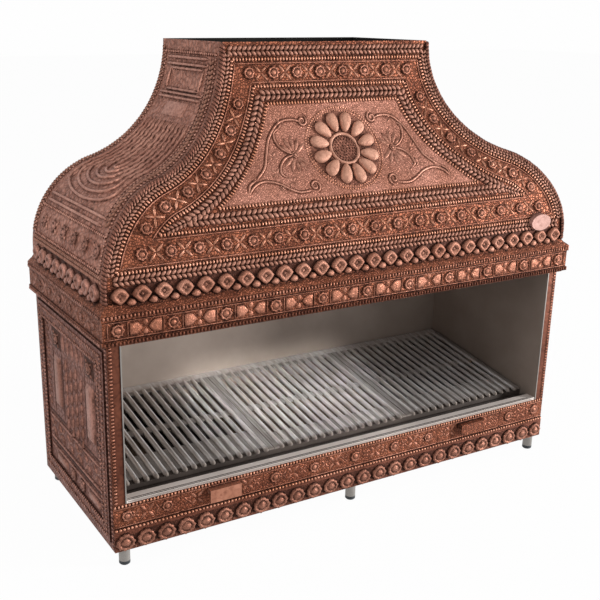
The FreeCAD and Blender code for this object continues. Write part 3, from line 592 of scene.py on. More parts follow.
# Folded strip: smooth dark brown.
folded_copper = copper("Folded copper strip", "#724230", "#5C3223", "#2A130C", mark=30, cut=0.4, tarnish=0.2,
                       roughness=0.48, hollow=8)
wear(folded_copper, "left_post", "right_post")
post_bead_x = 0.7915
post_beads = []
for x in (-post_bead_x, post_bead_x):
    post_beads += along(front, [(x, 0.195), (x, 0.65)], 0.0100, (0.0032, 0.0056, 0.0034))
punched("post_beads", bead, post_beads, chased_copper, seed=11)
edge_low = (0.7605, -0.2885, 0.193)
edge_high = (0.7640, -0.262, 0.652)
left_edge = ((-edge_high[0], *edge_low[1:]), (-edge_low[0], *edge_high[1:]))
keep(plain_mesh("post_edges", *boxes([left_edge, (edge_low, edge_high)])), leg_steel)

# Ledge and gutter
# A ledge folded from stainless sheet carries the skewers along the front of the hearth. Behind
# it a sloped apron drains fat into a folded gutter.

# Brushed stainless: pale, with soft streaks along its length.
stainless = steel("Brushed stainless steel", "#F4EAE3", "#E0D5CD", shine=0.15)
# Dark brown-grey stainless for the gutter and rail behind the ledge, and painted shade for a groove line along
# the ledge's top.
gutter_steel = steel("Fat-darkened stainless steel", "#4E443E", "#382F2A", grime=0.2, shine=0.3)
# Folded edge: a shaded copy of the ledge's stainless, painted darker than its top.
shaded_face_steel = steel("Dull folded stainless edge", "#A3978F", "#8E837B", roughness=0.55, shine=0.15)
# Apron: the darkest of the four, with a slight gloss.
apron_steel = steel("Greasy stainless apron", "#3E3530", "#2F2824", roughness=0.45, shine=0.2)
wear(stainless, "skewer_ledge")
wear(gutter_steel, "grease_gutter", "front_grate_rail")
ledge_low, ledge_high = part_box("skewer_ledge")
ledge_top = flat((0, ledge_low[1], ledge_high[2]), (1, 0, 0), (0, 1, 0))
ledge_front = flat((0, ledge_low[1], ledge_high[2]), (1, 0, 0), (0, 0, 1))
apron_slope = math.radians(9)
apron_drop = 0.0008
apron = flat((0, ledge_high[1], ledge_high[2] - apron_drop), (1, 0, 0),
             (0, math.cos(apron_slope), -math.sin(apron_slope)))
# Painted shade on the ledge: its lip and its front face are in darker steels than its top, and a dark line
# along its top stands for the shade of a groove.
for name, sheet, half, s, width, rise, metal in (
        ("ledge_lip", ledge_top, 0.755, 0.0030, 0.005, 0.0006, leg_steel),
        ("ledge_face", ledge_front, 0.757, -0.0040, 0.0076, 0.0004, shaded_face_steel),
        ("gutter_apron", apron, 0.754, 0.0105, 0.0205, 0.0004, apron_steel),
        ("ledge_groove", ledge_top, 0.755, 0.0105, 0.0045, 0.0003, gutter_steel)):
    ridges(name, sheet, [level(half, s)], width, rise, metal)

# Cooking grates
# Three cast iron grates lie side by side and slope down to the gutter, loose on their rails.
# Half-round bars run down the slope over cross webs, and longer webs close their fronts.
grate_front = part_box("left_grate")[0][1]


def cast_metal(name, dull, bare):
    """Cast metal: heat streaks along the bars, painted shade in the slots and gaps between bars, and front ends
    darker and matt, partly burnt fat and partly painted shade.
    """
    material, tree, shader, place = new_material(name)
    drawn = add_node(tree, "ShaderNodeMapping", {
        "Vector": place, "Scale": (1 / (5 * mm), 1 / (70 * mm), 1 / (70 * mm))})
    streaks = add_node(tree, "ShaderNodeTexNoise", {
        "Vector": drawn.outputs["Vector"], "Scale": 1.0, "Detail": 3.0})
    tone = add_node(tree, "ShaderNodeMapRange", {
        "Value": streaks.outputs["Fac"], "From Min": 0.3, "From Max": 0.7})
    metal = add_node(tree, "ShaderNodeMix", {
        "Factor": tone.outputs["Result"], "A": linear(dull), "B": linear(bare)}, data_type="RGBA")
    # Painted shade: ambient occlusion turns the slots and the gaps between bars near black brown.
    depth = add_node(tree, "ShaderNodeAmbientOcclusion", {"Distance": 12 * mm}, samples=6)
    open_air = add_node(tree, "ShaderNodeMapRange", {
        "Value": depth.outputs["AO"], "From Min": 0.3, "From Max": 0.85})
    gap_shaded = add_node(tree, "ShaderNodeMix", {
        "Factor": open_air.outputs["Result"], "A": linear("#35291F"), "B": metal.outputs["Result"]},
        data_type="RGBA")
    # The front ends darken and turn matt, partly burnt fat and partly painted shade that dulls their highlight.
    axes = add_node(tree, "ShaderNodeSeparateXYZ", {"Vector": place})
    clean = add_node(tree, "ShaderNodeMapRange", {
        "Value": axes.outputs["Y"], "From Min": grate_front + 2 * mm, "From Max": grate_front + 24 * mm})
    skin = add_node(tree, "ShaderNodeMix", {
        "Factor": clean.outputs["Result"], "A": linear("#857A72"), "B": gap_shaded.outputs["Result"]},
        data_type="RGBA")
    rough = add_node(tree, "ShaderNodeMapRange", {
        "Value": clean.outputs["Result"], "To Min": 0.8, "To Max": 0.42})
    bump = add_node(tree, "ShaderNodeBump", {
        "Height": streaks.outputs["Fac"], "Distance": 0.3 * mm, "Strength": 0.5})
    tree.links.new(skin.outputs["Result"], shader.inputs["Base Color"])
    tree.links.new(rough.outputs["Result"], shader.inputs["Roughness"])
    tree.links.new(bump.outputs["Normal"], shader.inputs["Normal"])
    shader.inputs["Metallic"].default_value = 0.5
    return material


# Scoured bars: pale grey metal that heat has greyed and streaked.
grate_metal = cast_metal("Heat-greyed cast grate", "#B8AFA9", "#E8E6E5")
# Webs between the bars: the same metal, darker as painted shade between the bars.
shaded_web_metal = cast_metal("Sooty cast web", "#857D76", "#B4B0AD")
grate_tilt = math.radians(9)
bar_pitch = 0.030
bar_half = 0.0080
bar_crest = 0.011
bar_steps = 8
bar_end = ((0.0, 0.25), (0.0012, 0.6), (0.0045, 0.9), (0.009, 1.0))
web_thick = 0.005
web_wide = 0.026
web_start = 0.018
rear_cut = 0.006
rail_half = 0.009
rail_inset = 0.004
rail_over = 0.0006
edge_clear = 0.034
front_webs = {"left_grate": 0.120, "middle_grate": 0.082, "right_grate": 0.100}
slot_start = 0.066
rear_share = 0.55


def grate_bar(length):
    """One half-round bar with rounded ends, from its front end along +X."""
    rings = [*bar_end, *[(length - x, full) for x, full in reversed(bar_end)]]
    points = []
    for x, full in rings:
        for k in range(bar_steps + 1):
            angle = math.pi * k / bar_steps
            height = bar_crest * (0.35 + 0.65 * full) * math.sin(angle) ** 0.8
            points.append((x, -bar_half * full * math.cos(angle), height))
    side = bar_steps + 1
    last = side * (len(rings) - 1)
    faces = []
    for ring in range(0, last, side):
        faces += [(ring + k, ring + side + k, ring + side + k + 1, ring + k + 1) for k in range(bar_steps)]
        faces.append((ring, ring + bar_steps, ring + side + bar_steps, ring + side))
    faces += [tuple(range(side)), tuple(reversed(range(last, last + side)))]
    return figure("bar", points, faces)


slab = figure("slab", *boxes([((0, -1, 0), (1, 1, 1))]))
for name in front_webs:
    low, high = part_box(name)
    width = high[0] - low[0]
    toe = low[1] + bar_crest * math.sin(grate_tilt)
    length = (high[1] - toe) / math.cos(grate_tilt)
    bed = flat((low[0], toe, low[2]), (1, 0, 0), (0, math.cos(grate_tilt), math.sin(grate_tilt)))
    count = int((width - edge_clear) // bar_pitch) + 1
    margin = (width - (count - 1) * bar_pitch) / 2
    bar = grate_bar(length)
    bars = [spot(bed, margin + i * bar_pitch, 0, (1, 1, 1), math.pi / 2) for i in range(count)]
    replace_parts(punched(name + "_bars", bar, bars, grate_metal, name, 41, 0.0), name)
    bpy.data.objects.remove(bar)
    middle_web = slot_start + (length - slot_start - 2 * web_wide) * (1 - rear_share)
    webs = []
    for s, deep in ((web_start, front_webs[name] - web_start), (middle_web, web_wide),
                    (length - web_wide, web_wide - rear_cut)):
        webs.append(spot(bed, width / 2, s, (deep, width / 2, web_thick), math.pi / 2))
    for u in (rail_half, width - rail_half):
        rail = (length - 2 * rail_inset, rail_half, web_thick + rail_over)
        webs.append(spot(bed, u, rail_inset, rail, math.pi / 2))
    punched(name + "_webs", slab, webs, shaded_web_metal, name, 42, 0.0, False)
bpy.data.objects.remove(slab)
wear(mild_steel, "ash_grids")
wear(grate_metal, "rear_grate_rail")

# Hearth
# Slips of pressed firebrick lie loose on the deck under the grates, beside the grids over the
# drawers. Mineral board fills the space between the double walls.

# Firebrick: buff, blotched black by soot, and matt.
brick = grainy("Sooty firebrick", "#2A2522", "#8A7560", grain=30, detail=6.0, roughness=0.9)
wear(brick, "firebricks", "left_insulation", "right_insulation", "back_insulation")

# Lining
# The cooking space is lined on three sides with plain stainless sheet, cut flat and fixed to the
# frame.

# Lining sheet: grey-brown, darker than bare stainless as painted shade inside the hood, with a soft sheen.
liner_steel = steel("Plain stainless lining", "#9A8C81", "#82746A", streak=0.1, grime=0.35, shine=0.3)
wear(liner_steel, "left_liner", "right_liner", "back_liner")

# Cornice
# A copper moulding crosses the head of the window and returns along both sides. It is folded to
# its profile and chased with bead lines, framed rosettes, fans and leaves.
fan = pressed_figure("fan", [(-1, -0.92), (0.2, -0.92), (1, 0), (0.2, 0.92), (-1, 0.92)],
                     [(1, -0.3), (0.9, 0.65), (0.55, 0.9), (0, 1.0)])
back_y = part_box("back_panel")[1][1]
fillet_out = 0.0235
band_out = 0.020
side_in = 0.004
cornice_profile = [(0.0, 0.652), (0.013, 0.652), (0.013, 0.6565), (fillet_out, 0.6575), (fillet_out, 0.6695),
                   (band_out, 0.6705), (band_out, 0.7235), (fillet_out, 0.7245), (fillet_out, 0.742),
                   (0.017, 0.748), (0.0095, 0.754), (0.004, 0.762), (0.0, 0.762)]
points = []
for out, z in cornice_profile:
    x = half_width + max(0.0, out - side_in)
    points += [(-x, back_y, z), (-x, front_y - out, z), (x, front_y - out, z), (x, back_y, z)]
faces = []
for ring in range(0, 4 * len(cornice_profile) - 4, 4):
    faces += [(ring + k, ring + k + 1, ring + k + 5, ring + k + 4) for k in range(3)]
faces.append(tuple(range(0, len(points), 4)))
faces.append(tuple(reversed(range(3, len(points), 4))))
cornice = keep(plain_mesh("cornice", points, faces), sheet_copper)
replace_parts(cornice, "front_cornice", "left_cornice", "right_cornice")
band = flat((0, front_y - band_out, 0), (1, 0, 0), (0, 0, 1))
fillet = flat((0, front_y - fillet_out, 0), (1, 0, 0), (0, 0, 1))
cornice_z = 0.697
rosette_gap = 0.155
rosettes = []
leaves = []
fans = []
rules = [level(0.812, z) for z in (0.6745, 0.7195)]
for i in range(11):
    x = -5 * rosette_gap + rosette_gap * i
    rosettes.append(spot(band, x, cornice_z, (0.0195, 0.0195, 0.0070)))
    for off in (-0.0275, 0.0275):
        if abs(x + off) < 0.81:
            rules.append(smooth([(x + off, 0.6755), (x + off, 0.7185)], 6))
    if i < 10:
        for off, turn in ((-0.0125, math.pi / 2), (0.0125, -math.pi / 2)):
            leaves.append(spot(band, x + rosette_gap / 2, cornice_z + off, (0.0100, 0.0150, 0.0045), turn))
        for off, turn in ((0.0510, 0.0), (0.1040, math.pi)):
            fans.append(spot(band, x + off, cornice_z, (0.0190, 0.0185, 0.0045), turn))
return_y = 0.0045
return_half = 0.305
side_beads = []
side_leaves = []
side_rosettes = []
for side in (-1, 1):
    face = flat((side * (half_width + band_out - side_in), return_y, 0), (0, side, 0), (0, 0, 1))
    rim = flat((side * (half_width + fillet_out - side_in), return_y, 0), (0, side, 0), (0, 0, 1))
    for z in (0.6610, 0.7330):
        side_beads += along(rim, [(-return_half, z), (return_half, z)], 0.0125, (0.0040, 0.0050, 0.0038))
    for y in np.arange(-0.25, 0.26, 0.09):
        side_leaves += spray(face, y, cornice_z, (0.0170, 0.0100, 0.0040), 0.0170)
        side_rosettes.append(spot(face, y + 0.045, cornice_z, (0.0110, 0.0110, 0.0040)))
punched("cornice_side_beads", bead, side_beads, wall_relief, seed=35)
punched("cornice_side_leaves", leaf, side_leaves, wall_relief, seed=36)
punched("cornice_side_rosettes", rosette, side_rosettes, wall_relief, seed=37)
# The foot row is struck in the dark folded copper as painted shade under the cornice; the head row is
# half-rubbed copper.
for name, z, metal, seed in (("cornice_foot_beads", 0.6634, folded_copper, 12),
                             ("cornice_head_beads", 0.7335, chased_copper, 43)):
    row = along(fillet, [(-0.818, z), (0.818, z)], 0.0105, (0.0034, 0.0060, 0.0042))
    punched(name, bead, row, metal, seed=seed)
punched("cornice_rosettes", rosette, rosettes, chased_copper, seed=13)
punched("cornice_leaves", leaf, leaves, chased_copper, seed=14)
punched("cornice_fans", fan, fans, chased_copper, seed=32)
ridges("cornice_rules", band, rules, 0.0035, 0.0028, chased_copper)

# Hood sheets
# Three sheets of thin copper draw in from the cornice to the flue in an ogee, and are joined at
# the hips. Their patterns are laid out on the flat sheet and follow its bend.

# Low-relief sheet: paler than the front, with broad shallow marks.
side_copper = copper("Low-relief copper sheet", "#B27C69", "#976250", "#36190F", mark=18, cut=2.2,
                     tarnish=0.45, roughness=0.46, hollow=30)
wear(sheet_copper, "hood_front_panel")
wear(side_copper, "left_hood_panel", "right_hood_panel")
hood_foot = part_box("hood_front_panel")[0][2]
hood_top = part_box("hood_front_panel")[1][2]
upright = 0.028
hood_bend = hood_foot + upright
lower_share = 0.43
front_reach = 0.21
side_reach = 0.446


def ogee(reach):
    """Lower radius, upper radius and turn of the two arcs that draw in by a reach."""
    turn = 2 * math.atan(reach / (hood_top - hood_bend))
    total = (hood_top - hood_bend) / math.sin(turn)
    return lower_share * total, (1 - lower_share) * total, turn


def up_sheet(reach, s):
    """Distance drawn in, height and lean at a distance up the sheet."""
    low, high, turn = ogee(reach)
    s = float(s) - upright
    if s < 0:
        return 0.0, hood_bend + s, 0.0
    if s < low * turn:
        lean = s / low
        return low * (1 - math.cos(lean)), hood_bend + low * math.sin(lean), lean
    lean = turn - (s - low * turn) / high
    return reach - high * (1 - math.cos(lean)), hood_top - high * math.sin(lean), lean


def hood_sheet(reach, foot, inward, across):
    """A bent sheet to draw on, from its foot. It gives what a flat one gives."""
    foot, inward, across = Vector(foot), Vector(inward), Vector(across)

    def place(u, s):
        drawn, z, lean = up_sheet(reach, s)
        point = foot + across * float(u) + inward * drawn + Vector((0, 0, z))
        out = inward * -math.cos(lean) + Vector((0, 0, math.sin(lean)))
        return point, out, across, inward * math.sin(lean) + Vector((0, 0, math.cos(lean)))
    return place


hood_front = hood_sheet(front_reach, (0, front_y, 0), (0, 1, 0), (1, 0, 0))
hood_left = hood_sheet(side_reach, (-half_width, 0, 0), (1, 0, 0), (0, -1, 0))
hood_right = hood_sheet(side_reach, (half_width, 0, 0), (-1, 0, 0), (0, 1, 0))

# Lotus buds
# A row of full buds stands along the foot of the hood on three sides, with round cups and leaf
# tips between them, beaten from behind. A dark strip behind them is painted shade between the buds.
bud = pressed_figure("bud", [(1.03, 0.02), (0.74, 0.43), (0.40, 0.77), (0, 0.95), (-0.40, 0.77),
                             (-0.74, 0.43), (-1.03, 0.02), (-0.72, -0.44), (-0.38, -0.77), (0, -1.03),
                             (0.38, -0.77), (0.72, -0.44)],
                     [(1, -0.1), (0.94, 0.6), (0.78, 0.95), (0.54, 0.95), (0.36, 0.35), (0.20, 0.45),
                      (0, 0.80)])
# Rubbed buds: satin pink-brown crests, dark between them.
bud_copper = copper("Rubbed copper buds", "#BC8670", "#A26B55", "#3A1B10", mark=6, cut=0.6, tarnish=0.25,
                    roughness=0.56, hollow=9, shine=0.65)
bud_lift = 0.002
for name, sheet, start, end, count, metal in (("front", hood_front, -0.79, 0.79, 26, bud_copper),
                                              ("left", hood_left, -0.285, 0.265, 9, wall_relief),
                                              ("right", hood_right, -0.265, 0.285, 9, wall_relief)):
    heads = []
    cups = []
    leaves = []
    pitch = (end - start) / count
    for i in range(count):
        u = start + pitch * (i + 0.5)
        heads.append(spot(sheet, u, 0.0200, (0.0262, 0.0252, 0.0120), lift=bud_lift))
        leaves.append(spot(sheet, u, 0.0015, (0.008, 0.012, 0.006), math.pi / 2, bud_lift))
        if i:
            cups.append(spot(sheet, u - pitch / 2, 0.0005, (0.0140, 0.0110, 0.0130), lift=bud_lift))
    # Painted shade: a dark strip behind the buds, cups and leaves.
    strip = smooth([(start, 0.026), (end, 0.026)], 40)
    ridges(name + "_lotus_ground", sheet, [strip], 0.048, 0.001, patina_and_shade_copper)
    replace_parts(punched(name + "_lotus_buds", bud, heads, metal, seed=15), name + "_bud_band")
    punched(name + "_lotus_cups", bead, cups, metal, seed=16)
    punched(name + "_lotus_leaves", leaf, leaves, metal, seed=33)


# Frames on the hood's front
# Bead lines, double ropes and a band of rosettes frame the field, all chased into the sheet.
# They run along the foot, beside both hips and under the flue.
front_run = upright + sum(ogee(front_reach)[:2]) * ogee(front_reach)[2]
side_run = upright + sum(ogee(side_reach)[:2]) * ogee(side_reach)[2]


def drawn_in(reach, z):
    """Distance drawn in at a height."""
    low, high, turn = ogee(reach)
    if z <= hood_bend:
        return 0.0
    if z <= hood_bend + low * math.sin(turn):
        return low - math.sqrt(low ** 2 - (z - hood_bend) ** 2)
    return reach - high + math.sqrt(high ** 2 - (hood_top - z) ** 2)


def beside_hip(inset, low, high, on_front=True):
    """Line on a flat sheet beside its right hip, moved in by an inset, between two distances up."""
    if on_front:
        run = np.linspace(0, front_run, 161)
        edge = [half_width - drawn_in(side_reach, up_sheet(front_reach, s)[1]) for s in run]
    else:
        run = np.linspace(0, side_run, 161)
        edge = [-front_y - drawn_in(front_reach, up_sheet(side_reach, s)[1]) for s in run]
    line = shifted(np.stack([edge, run], 1), inset)
    ups = np.linspace(low, high, 60)
    return np.stack([np.interp(ups, line[:, 1], line[:, 0]), ups], 1)


def rope_strands(sheet, line, width):
    """Places of the slanted strands of a double rope along a line."""
    pitch = 0.54 * width
    size = (width * 0.36, width * 0.20, width * 0.22)
    return (along(sheet, shifted(line, width / 4), pitch, size, 0.7)
            + along(sheet, shifted(line, -width / 4), pitch, size, -0.7))


def frame_lines(inset, low, high):
    """Foot, right, head and left lines of a frame that follows the front's hips."""
    right = beside_hip(inset, low, high)
    left = right * (-1, 1)
    return [np.array([left[0], right[0]]), right, np.array([right[-1], left[-1]]), left[::-1]]


def crossed(place, spread):
    """Four leaves that lie crosswise round a place, set by the place's own heading."""
    point, out, heading, size = place
    leaves = []
    for turn in (0.8, 2.35, 3.93, 5.5):
        aim = Matrix.Rotation(turn, 3, out) @ heading
        leaves.append((point + spread * aim, out, aim, size))
    return leaves


# Rope: brown-pink strands with a satin face, and brown between them.
dark_copper = copper("Patinated copper rope", "#B07E6A", "#956653", "#5E3A2C", mark=6, cut=0.5, tarnish=0.2,
                     roughness=0.56, hollow=6, shine=0.6)
rope_frame = (0.130, 0.188, 0.530)
outer_frame = (0.106, 0.161, 0.555)
frame_beads = []
for lines in ((0.030, 0.076, 0.629), outer_frame, (0.154, 0.2135, 0.506)):
    for line in frame_lines(*lines):
        frame_beads += along(hood_front, line, 0.0100, (0.0036, 0.0062, 0.0045))
ropes = []
for line in frame_lines(*rope_frame):
    ropes += rope_strands(hood_front, line, 0.030)
ropes += rope_strands(hood_front, [(-0.775, 0.0570), (0.775, 0.0570)], 0.027)
ropes += rope_strands(hood_front, [(-0.34, 0.652), (0.34, 0.652)], 0.028)
hip_line = beside_hip(0.0135, 0.070, 0.648)
for line in (hip_line, hip_line * (-1, 1)):
    ropes += rope_strands(hood_front, line, 0.022)
for inner, outer in zip(frame_lines(*rope_frame)[0], frame_lines(*outer_frame)[0]):
    ropes += rope_strands(hood_front, [inner * 0.97 + outer * 0.03, inner * 0.25 + outer * 0.75], 0.022)
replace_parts(punched("hood_ropes", bead, ropes, dark_copper, seed=18), "hood_front_frame")
punched("hood_frame_beads", bead, frame_beads, raised_copper, seed=17)
rosettes = []
leaves = []
for k, line in enumerate(frame_lines(0.068, 0.1185, 0.592)):
    if k % 2:
        run = run_of(line)
        before, after = (0.050, 0.060) if k == 1 else (0.060, 0.050)
        line = line[(run > before) & (run < run[-1] - after)]
    for i, place in enumerate(along(hood_front, line, 0.0405, (0.0185, 0.0185, 0.0085))):
        if i % 2 == 0:
            rosettes.append(place)
        else:
            leaves += crossed((*place[:3], (0.0145, 0.0085, 0.0055)), 0.0155)
punched("hood_rosettes", rosette, rosettes, chased_copper, seed=19)
punched("hood_leaves", leaf, leaves, raised_copper, seed=20)
rules = []
for lines in ((0.040, 0.087, 0.618), (0.097, 0.151, 0.566)):
    rules += [smooth(line, 40 if len(line) == 2 else 2) for line in frame_lines(*lines)]
ridges("hood_frame_rules", hood_front, rules, 0.0045, 0.0030, chased_copper)

# Hips
# A copper strip worked into a rope covers each joint between the front and a side of the hood,
# and is fixed along it.

# Hip rope: darker than the other ropes, nearly black between its strands.
hip_copper = copper("Dark hip rope", "#8E6050", "#74493B", "#28120B", mark=6, cut=0.5, tarnish=0.3,
                    roughness=0.5, hollow=8)
strand_pitch = 0.0105
strand_size = (0.0115, 0.0058, 0.0075)
strand_slant = 0.75
hip_low = 0.765
hip_high = 1.382
strands = []
for side in (-1, 1):
    line = []
    for z in np.linspace(hip_low, hip_high, 140):
        x = half_width - drawn_in(side_reach, z)
        line.append(Vector((side * x, front_y + drawn_in(front_reach, z), z)))
    run = np.concatenate([[0], np.cumsum([(b - a).length for a, b in zip(line, line[1:])])])
    for at in np.arange(0.006, run[-1], strand_pitch):
        i = min(int(np.searchsorted(run, at)), len(line) - 2)
        heading = (line[i + 1] - line[i - 1]).normalized()
        point = line[i - 1].lerp(line[i], (at - run[i - 1]) / (run[i] - run[i - 1]))
        out = Vector((side * 0.72, -0.69, 0.25))
        out = (out - out.dot(heading) * heading).normalized()
        slant = Matrix.Rotation(-strand_slant * side, 3, out) @ heading
        strands.append((point + 0.001 * out, out, slant, strand_size))
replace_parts(punched("hip_ropes", bead, strands, hip_copper, seed=21), "left_hip_rope", "right_hip_rope")


# Hood sides
# Each side sheet is chased with the same bead lines and ropes as the front. Long loops with
# leaves between them fill it, and a small framed panel lies under the flue.
def reach_at(line, s):
    """Distance across to a line at a distance up the sheet."""
    return np.interp(s, line[:, 1], line[:, 0])


def between(rear, line, shares, ups):
    """Line at shares, from -1 to 1, of the way from a rear edge to a line beside the hip."""
    reach = reach_at(line, ups)
    return np.stack([(reach + rear) / 2 + shares * (reach - rear) / 2, ups], 1)


# Low relief: pale pink-brown crests, dark at the foot.
side_relief = copper("Low copper relief", "#C6917E", "#A97564", "#34190F", mark=9, cut=0.6, tarnish=0.2,
                     roughness=0.44, hollow=10)
side_bead = (0.004, 0.005, 0.0045)
loop_leaf = (0.018, 0.011, 0.006)
side_pitch = 0.0125
loop_head = side_run - 0.245
loop_round = 0.06
loop_step = 0.155
for name, sheet, way in (("left", hood_left, 1), ("right", hood_right, -1)):
    hip = beside_hip(0.030, 0.076, side_run - 0.03, False) * (way, 1)
    inner = beside_hip(0.075, 0.20, side_run - 0.06, False) * (way, 1)
    rear = -0.27 * way
    back = -0.285 * way
    beads = along(sheet, hip, side_pitch, side_bead)
    beads += along(sheet, [(back, 0.076), (back, side_run - 0.03)], side_pitch, side_bead)
    beads += along(sheet, inner, side_pitch, (0.0038, 0.0045, 0.0038))
    for s in (0.076, 0.165, side_run - 0.035):
        beads += along(sheet, [(back, s), (reach_at(hip, s), s)], side_pitch, side_bead)
    punched(name + "_hood_beads", bead, beads, side_relief, seed=22)
    strands = rope_strands(sheet, [(-0.295 * way, 0.0590), (0.27 * way, 0.0590)], 0.022)
    strands += rope_strands(sheet, beside_hip(0.052, 0.19, side_run - 0.05, False) * (way, 1), 0.026)
    strands += rope_strands(sheet, [(-0.302 * way, 0.076), (-0.302 * way, side_run - 0.02)], 0.018)
    punched(name + "_hood_ropes", bead, strands, dark_copper, seed=23)
    foot_line = [(rear, 0.12), (0.25 * way, 0.12)]
    leaves = []
    for place in along(sheet, foot_line, 0.04, (0.0150, 0.0095, 0.0050))[1::2]:
        leaves += crossed(place, 0.0150)
    flutes = []
    for s in (0.185, 0.207, side_run - 0.050, side_run - 0.070, side_run - 0.157, side_run - 0.170):
        flutes.append(smooth([(rear, s), (reach_at(inner, s), s)], 40))
    for k in range(6):
        share = 0.88 - loop_step * k
        spring = 0.232 + 0.026 * k + loop_round
        turn = np.linspace(0, math.pi, 25)[1:-1]
        ups = np.concatenate([np.linspace(loop_head, spring, 24), spring - loop_round * np.sin(turn),
                              np.linspace(spring, loop_head, 24)])
        shares = np.concatenate([np.full(24, -share), -share * np.cos(turn), np.full(24, share)])
        flutes.append(between(rear, inner, shares, ups))
        within = between(rear, inner, shares - loop_step / 2 * np.sign(shares), ups)
        for line in (within[:26], within[-26:]):
            leaves += along(sheet, line, 0.034, loop_leaf)
    plate_u = (rear + reach_at(inner, side_run - 0.21)) / 2
    plate = spot(sheet, plate_u, side_run - 0.204, (0.070, 0.023, 0.003))
    punched(name + "_hood_plate", tile, [plate], side_relief, seed=39)
    low, high = side_run - 0.145, side_run - 0.082
    fore, aft = reach_at(inner, low) - 0.035 * way, -0.235 * way
    panel = [(aft, low), (fore, low), (fore, high), (aft, high), (aft, low)]
    flutes += [smooth([a, b], 12) for a, b in zip(panel, panel[1:])]
    rosettes = along(sheet, foot_line, 0.08, (0.0185, 0.0185, 0.008))
    punched(name + "_hood_rosettes", rosette, rosettes, wall_relief, seed=24)
    punched(name + "_hood_leaves", leaf, leaves, side_relief, seed=34)
    ridges(name + "_hood_flutes", sheet, flutes, 0.010, 0.006, side_relief)


# Field of the hood's front
# Chased cartouches with scrolling stems and small flowers fill the field on each side of the
# medallion, over a ground that is stippled with a fine punch.
def scroll(u, s, radius, start, turns):
    """A tendril that winds in to its centre."""
    angle = np.linspace(0, 2 * math.pi * abs(turns), int(20 * abs(turns)) + 1)
    reach = radius * (1 - 0.85 * angle / angle[-1])
    angle = start + math.copysign(1, turns) * angle
    return np.stack([u + reach * np.cos(angle), s + reach * np.sin(angle)], 1)


# Stippled field: even, matt pink-brown with fine dark pricks.
field_copper = copper("Stippled copper field", "#B27D6B", "#9C6956", "#5A3225", mark=6.5, cut=1.2,
                      tarnish=0.5, roughness=0.52, hollow=10)
# Chased stem: a little paler and smoother than the field.
stem_copper = copper("Chased copper stem", "#C08C78", "#A97662", "#4C2719", mark=8, cut=0.4, tarnish=0.2,
                     roughness=0.5, hollow=9)
field_lift = 0.0009
columns = 25
points = []
faces = []
for i, (reach, s) in enumerate(beside_hip(0.157, 0.2155, 0.504)):
    for share in np.linspace(-1, 1, columns):
        point, out, _, _ = hood_front(reach * share, s)
        points.append(point + out * field_lift)
    if i:
        for k in range(columns * (i - 1), columns * i - 1):
            faces.append((k, k + 1, k + columns + 1, k + columns))
keep(plain_mesh("field_sheet", points, faces, True), field_copper)
flower = (0.172, 0.352)
stems = ([(0.125, 0.447), (0.155, 0.457), (0.20, 0.450), (0.24, 0.410), (0.262, 0.362), (0.282, 0.318),
          (0.318, 0.284)],
         [(0.352, 0.244), (0.330, 0.266), (0.295, 0.277), (0.255, 0.268), (0.22, 0.248), (0.19, 0.237),
          (0.15, 0.240)],
         [(0.318, 0.284), (0.345, 0.268), (0.352, 0.244)],
         [flower, (0.202, 0.366), (0.222, 0.390), (0.224, 0.420), (0.205, 0.434)],
         [flower, (0.202, 0.345), (0.226, 0.324), (0.234, 0.297), (0.220, 0.283)])
tendrils = ((0.122, 0.452, 0.017, math.pi / 2, 1.5), (0.138, 0.252, 0.018, -math.pi / 2, -1.5))
lines = []
leaves = []
flowers = []
for side in (-1, 1):
    lines += [smooth([(side * u, s) for u, s in stem], 10) for stem in stems]
    lines += [scroll(*tendril) * (side, 1) for tendril in tendrils]
    for fan_turn in (math.pi / 2, -math.pi / 2):
        for k in range(-2, 3):
            angle = fan_turn + 0.44 * k
            reach = 0.037 - 0.003 * abs(k)
            leaves.append(spot(hood_front, side * flower[0] + reach * math.cos(angle),
                               flower[1] + reach * math.sin(angle), (0.027, 0.0150, 0.0068), angle))
    for u, s in ((0.246, 0.352), (0.250, 0.300), (0.192, 0.447), (0.206, 0.271)):
        leaves += spray(hood_front, side * u, s, (0.0110, 0.0085, 0.0045), 0.0105)
    flowers.append(spot(hood_front, side * flower[0], flower[1], (0.011, 0.011, 0.006)))
    flowers.append(spot(hood_front, side * 0.245, 0.254, (0.009, 0.009, 0.004)))
# Painted shadow: a thin dark line on each side of every stem and tendril.
groove_shade_lines = [shifted(line, off) for line in lines for off in (-0.0052, 0.0052)]
ridges("field_stems", hood_front, lines, 0.0080, 0.0045, stem_copper)
ridges("field_grooves", hood_front, groove_shade_lines, 0.0036, 0.0016, recess_copper)
punched("field_leaves", leaf, leaves, stem_copper, seed=25)
punched("field_flowers", rosette, flowers, stem_copper, seed=26)

# Medallion
# A twelve-petalled flower stands in high relief in the middle of the hood's front, round a
# ringed and stippled eye. The petals are raised from behind, inside a ring of fine beads.
petal = round_figure("petal", [(1, -0.2), (0.96, 0.5), (0.82, 0.84), (0.45, 1.0), (0, 1.06)], 16)
for vertex in petal.data.vertices:
    vertex.co.y *= 0.78 + 0.26 * vertex.co.x
# Smooth petals: pale pink, soft and nearly free of marks.
plain_copper = copper("Plain copper plate", "#CE9A82", "#BF8B73", "#7A4635", mark=20, cut=0.3, tarnish=0.1,
                      roughness=0.68, hollow=4, shine=0.3)
# Shaded ground: painted shade, dark between the petals and among the eye's stipple.
shaded_copper = copper("Shaded copper ground", "#A06C59", "#875646", "#2E150C", mark=6, cut=0.8, tarnish=0.4,
                       roughness=0.55, hollow=26)
eye_s = 0.3595
petal_count = 12
petal_reach = 0.0832
petal_size = (0.0312, 0.0232, 0.0125)
ground_lift = 0.0014
ground_rings = (0.0005, 0.045, 0.080, 0.1165)


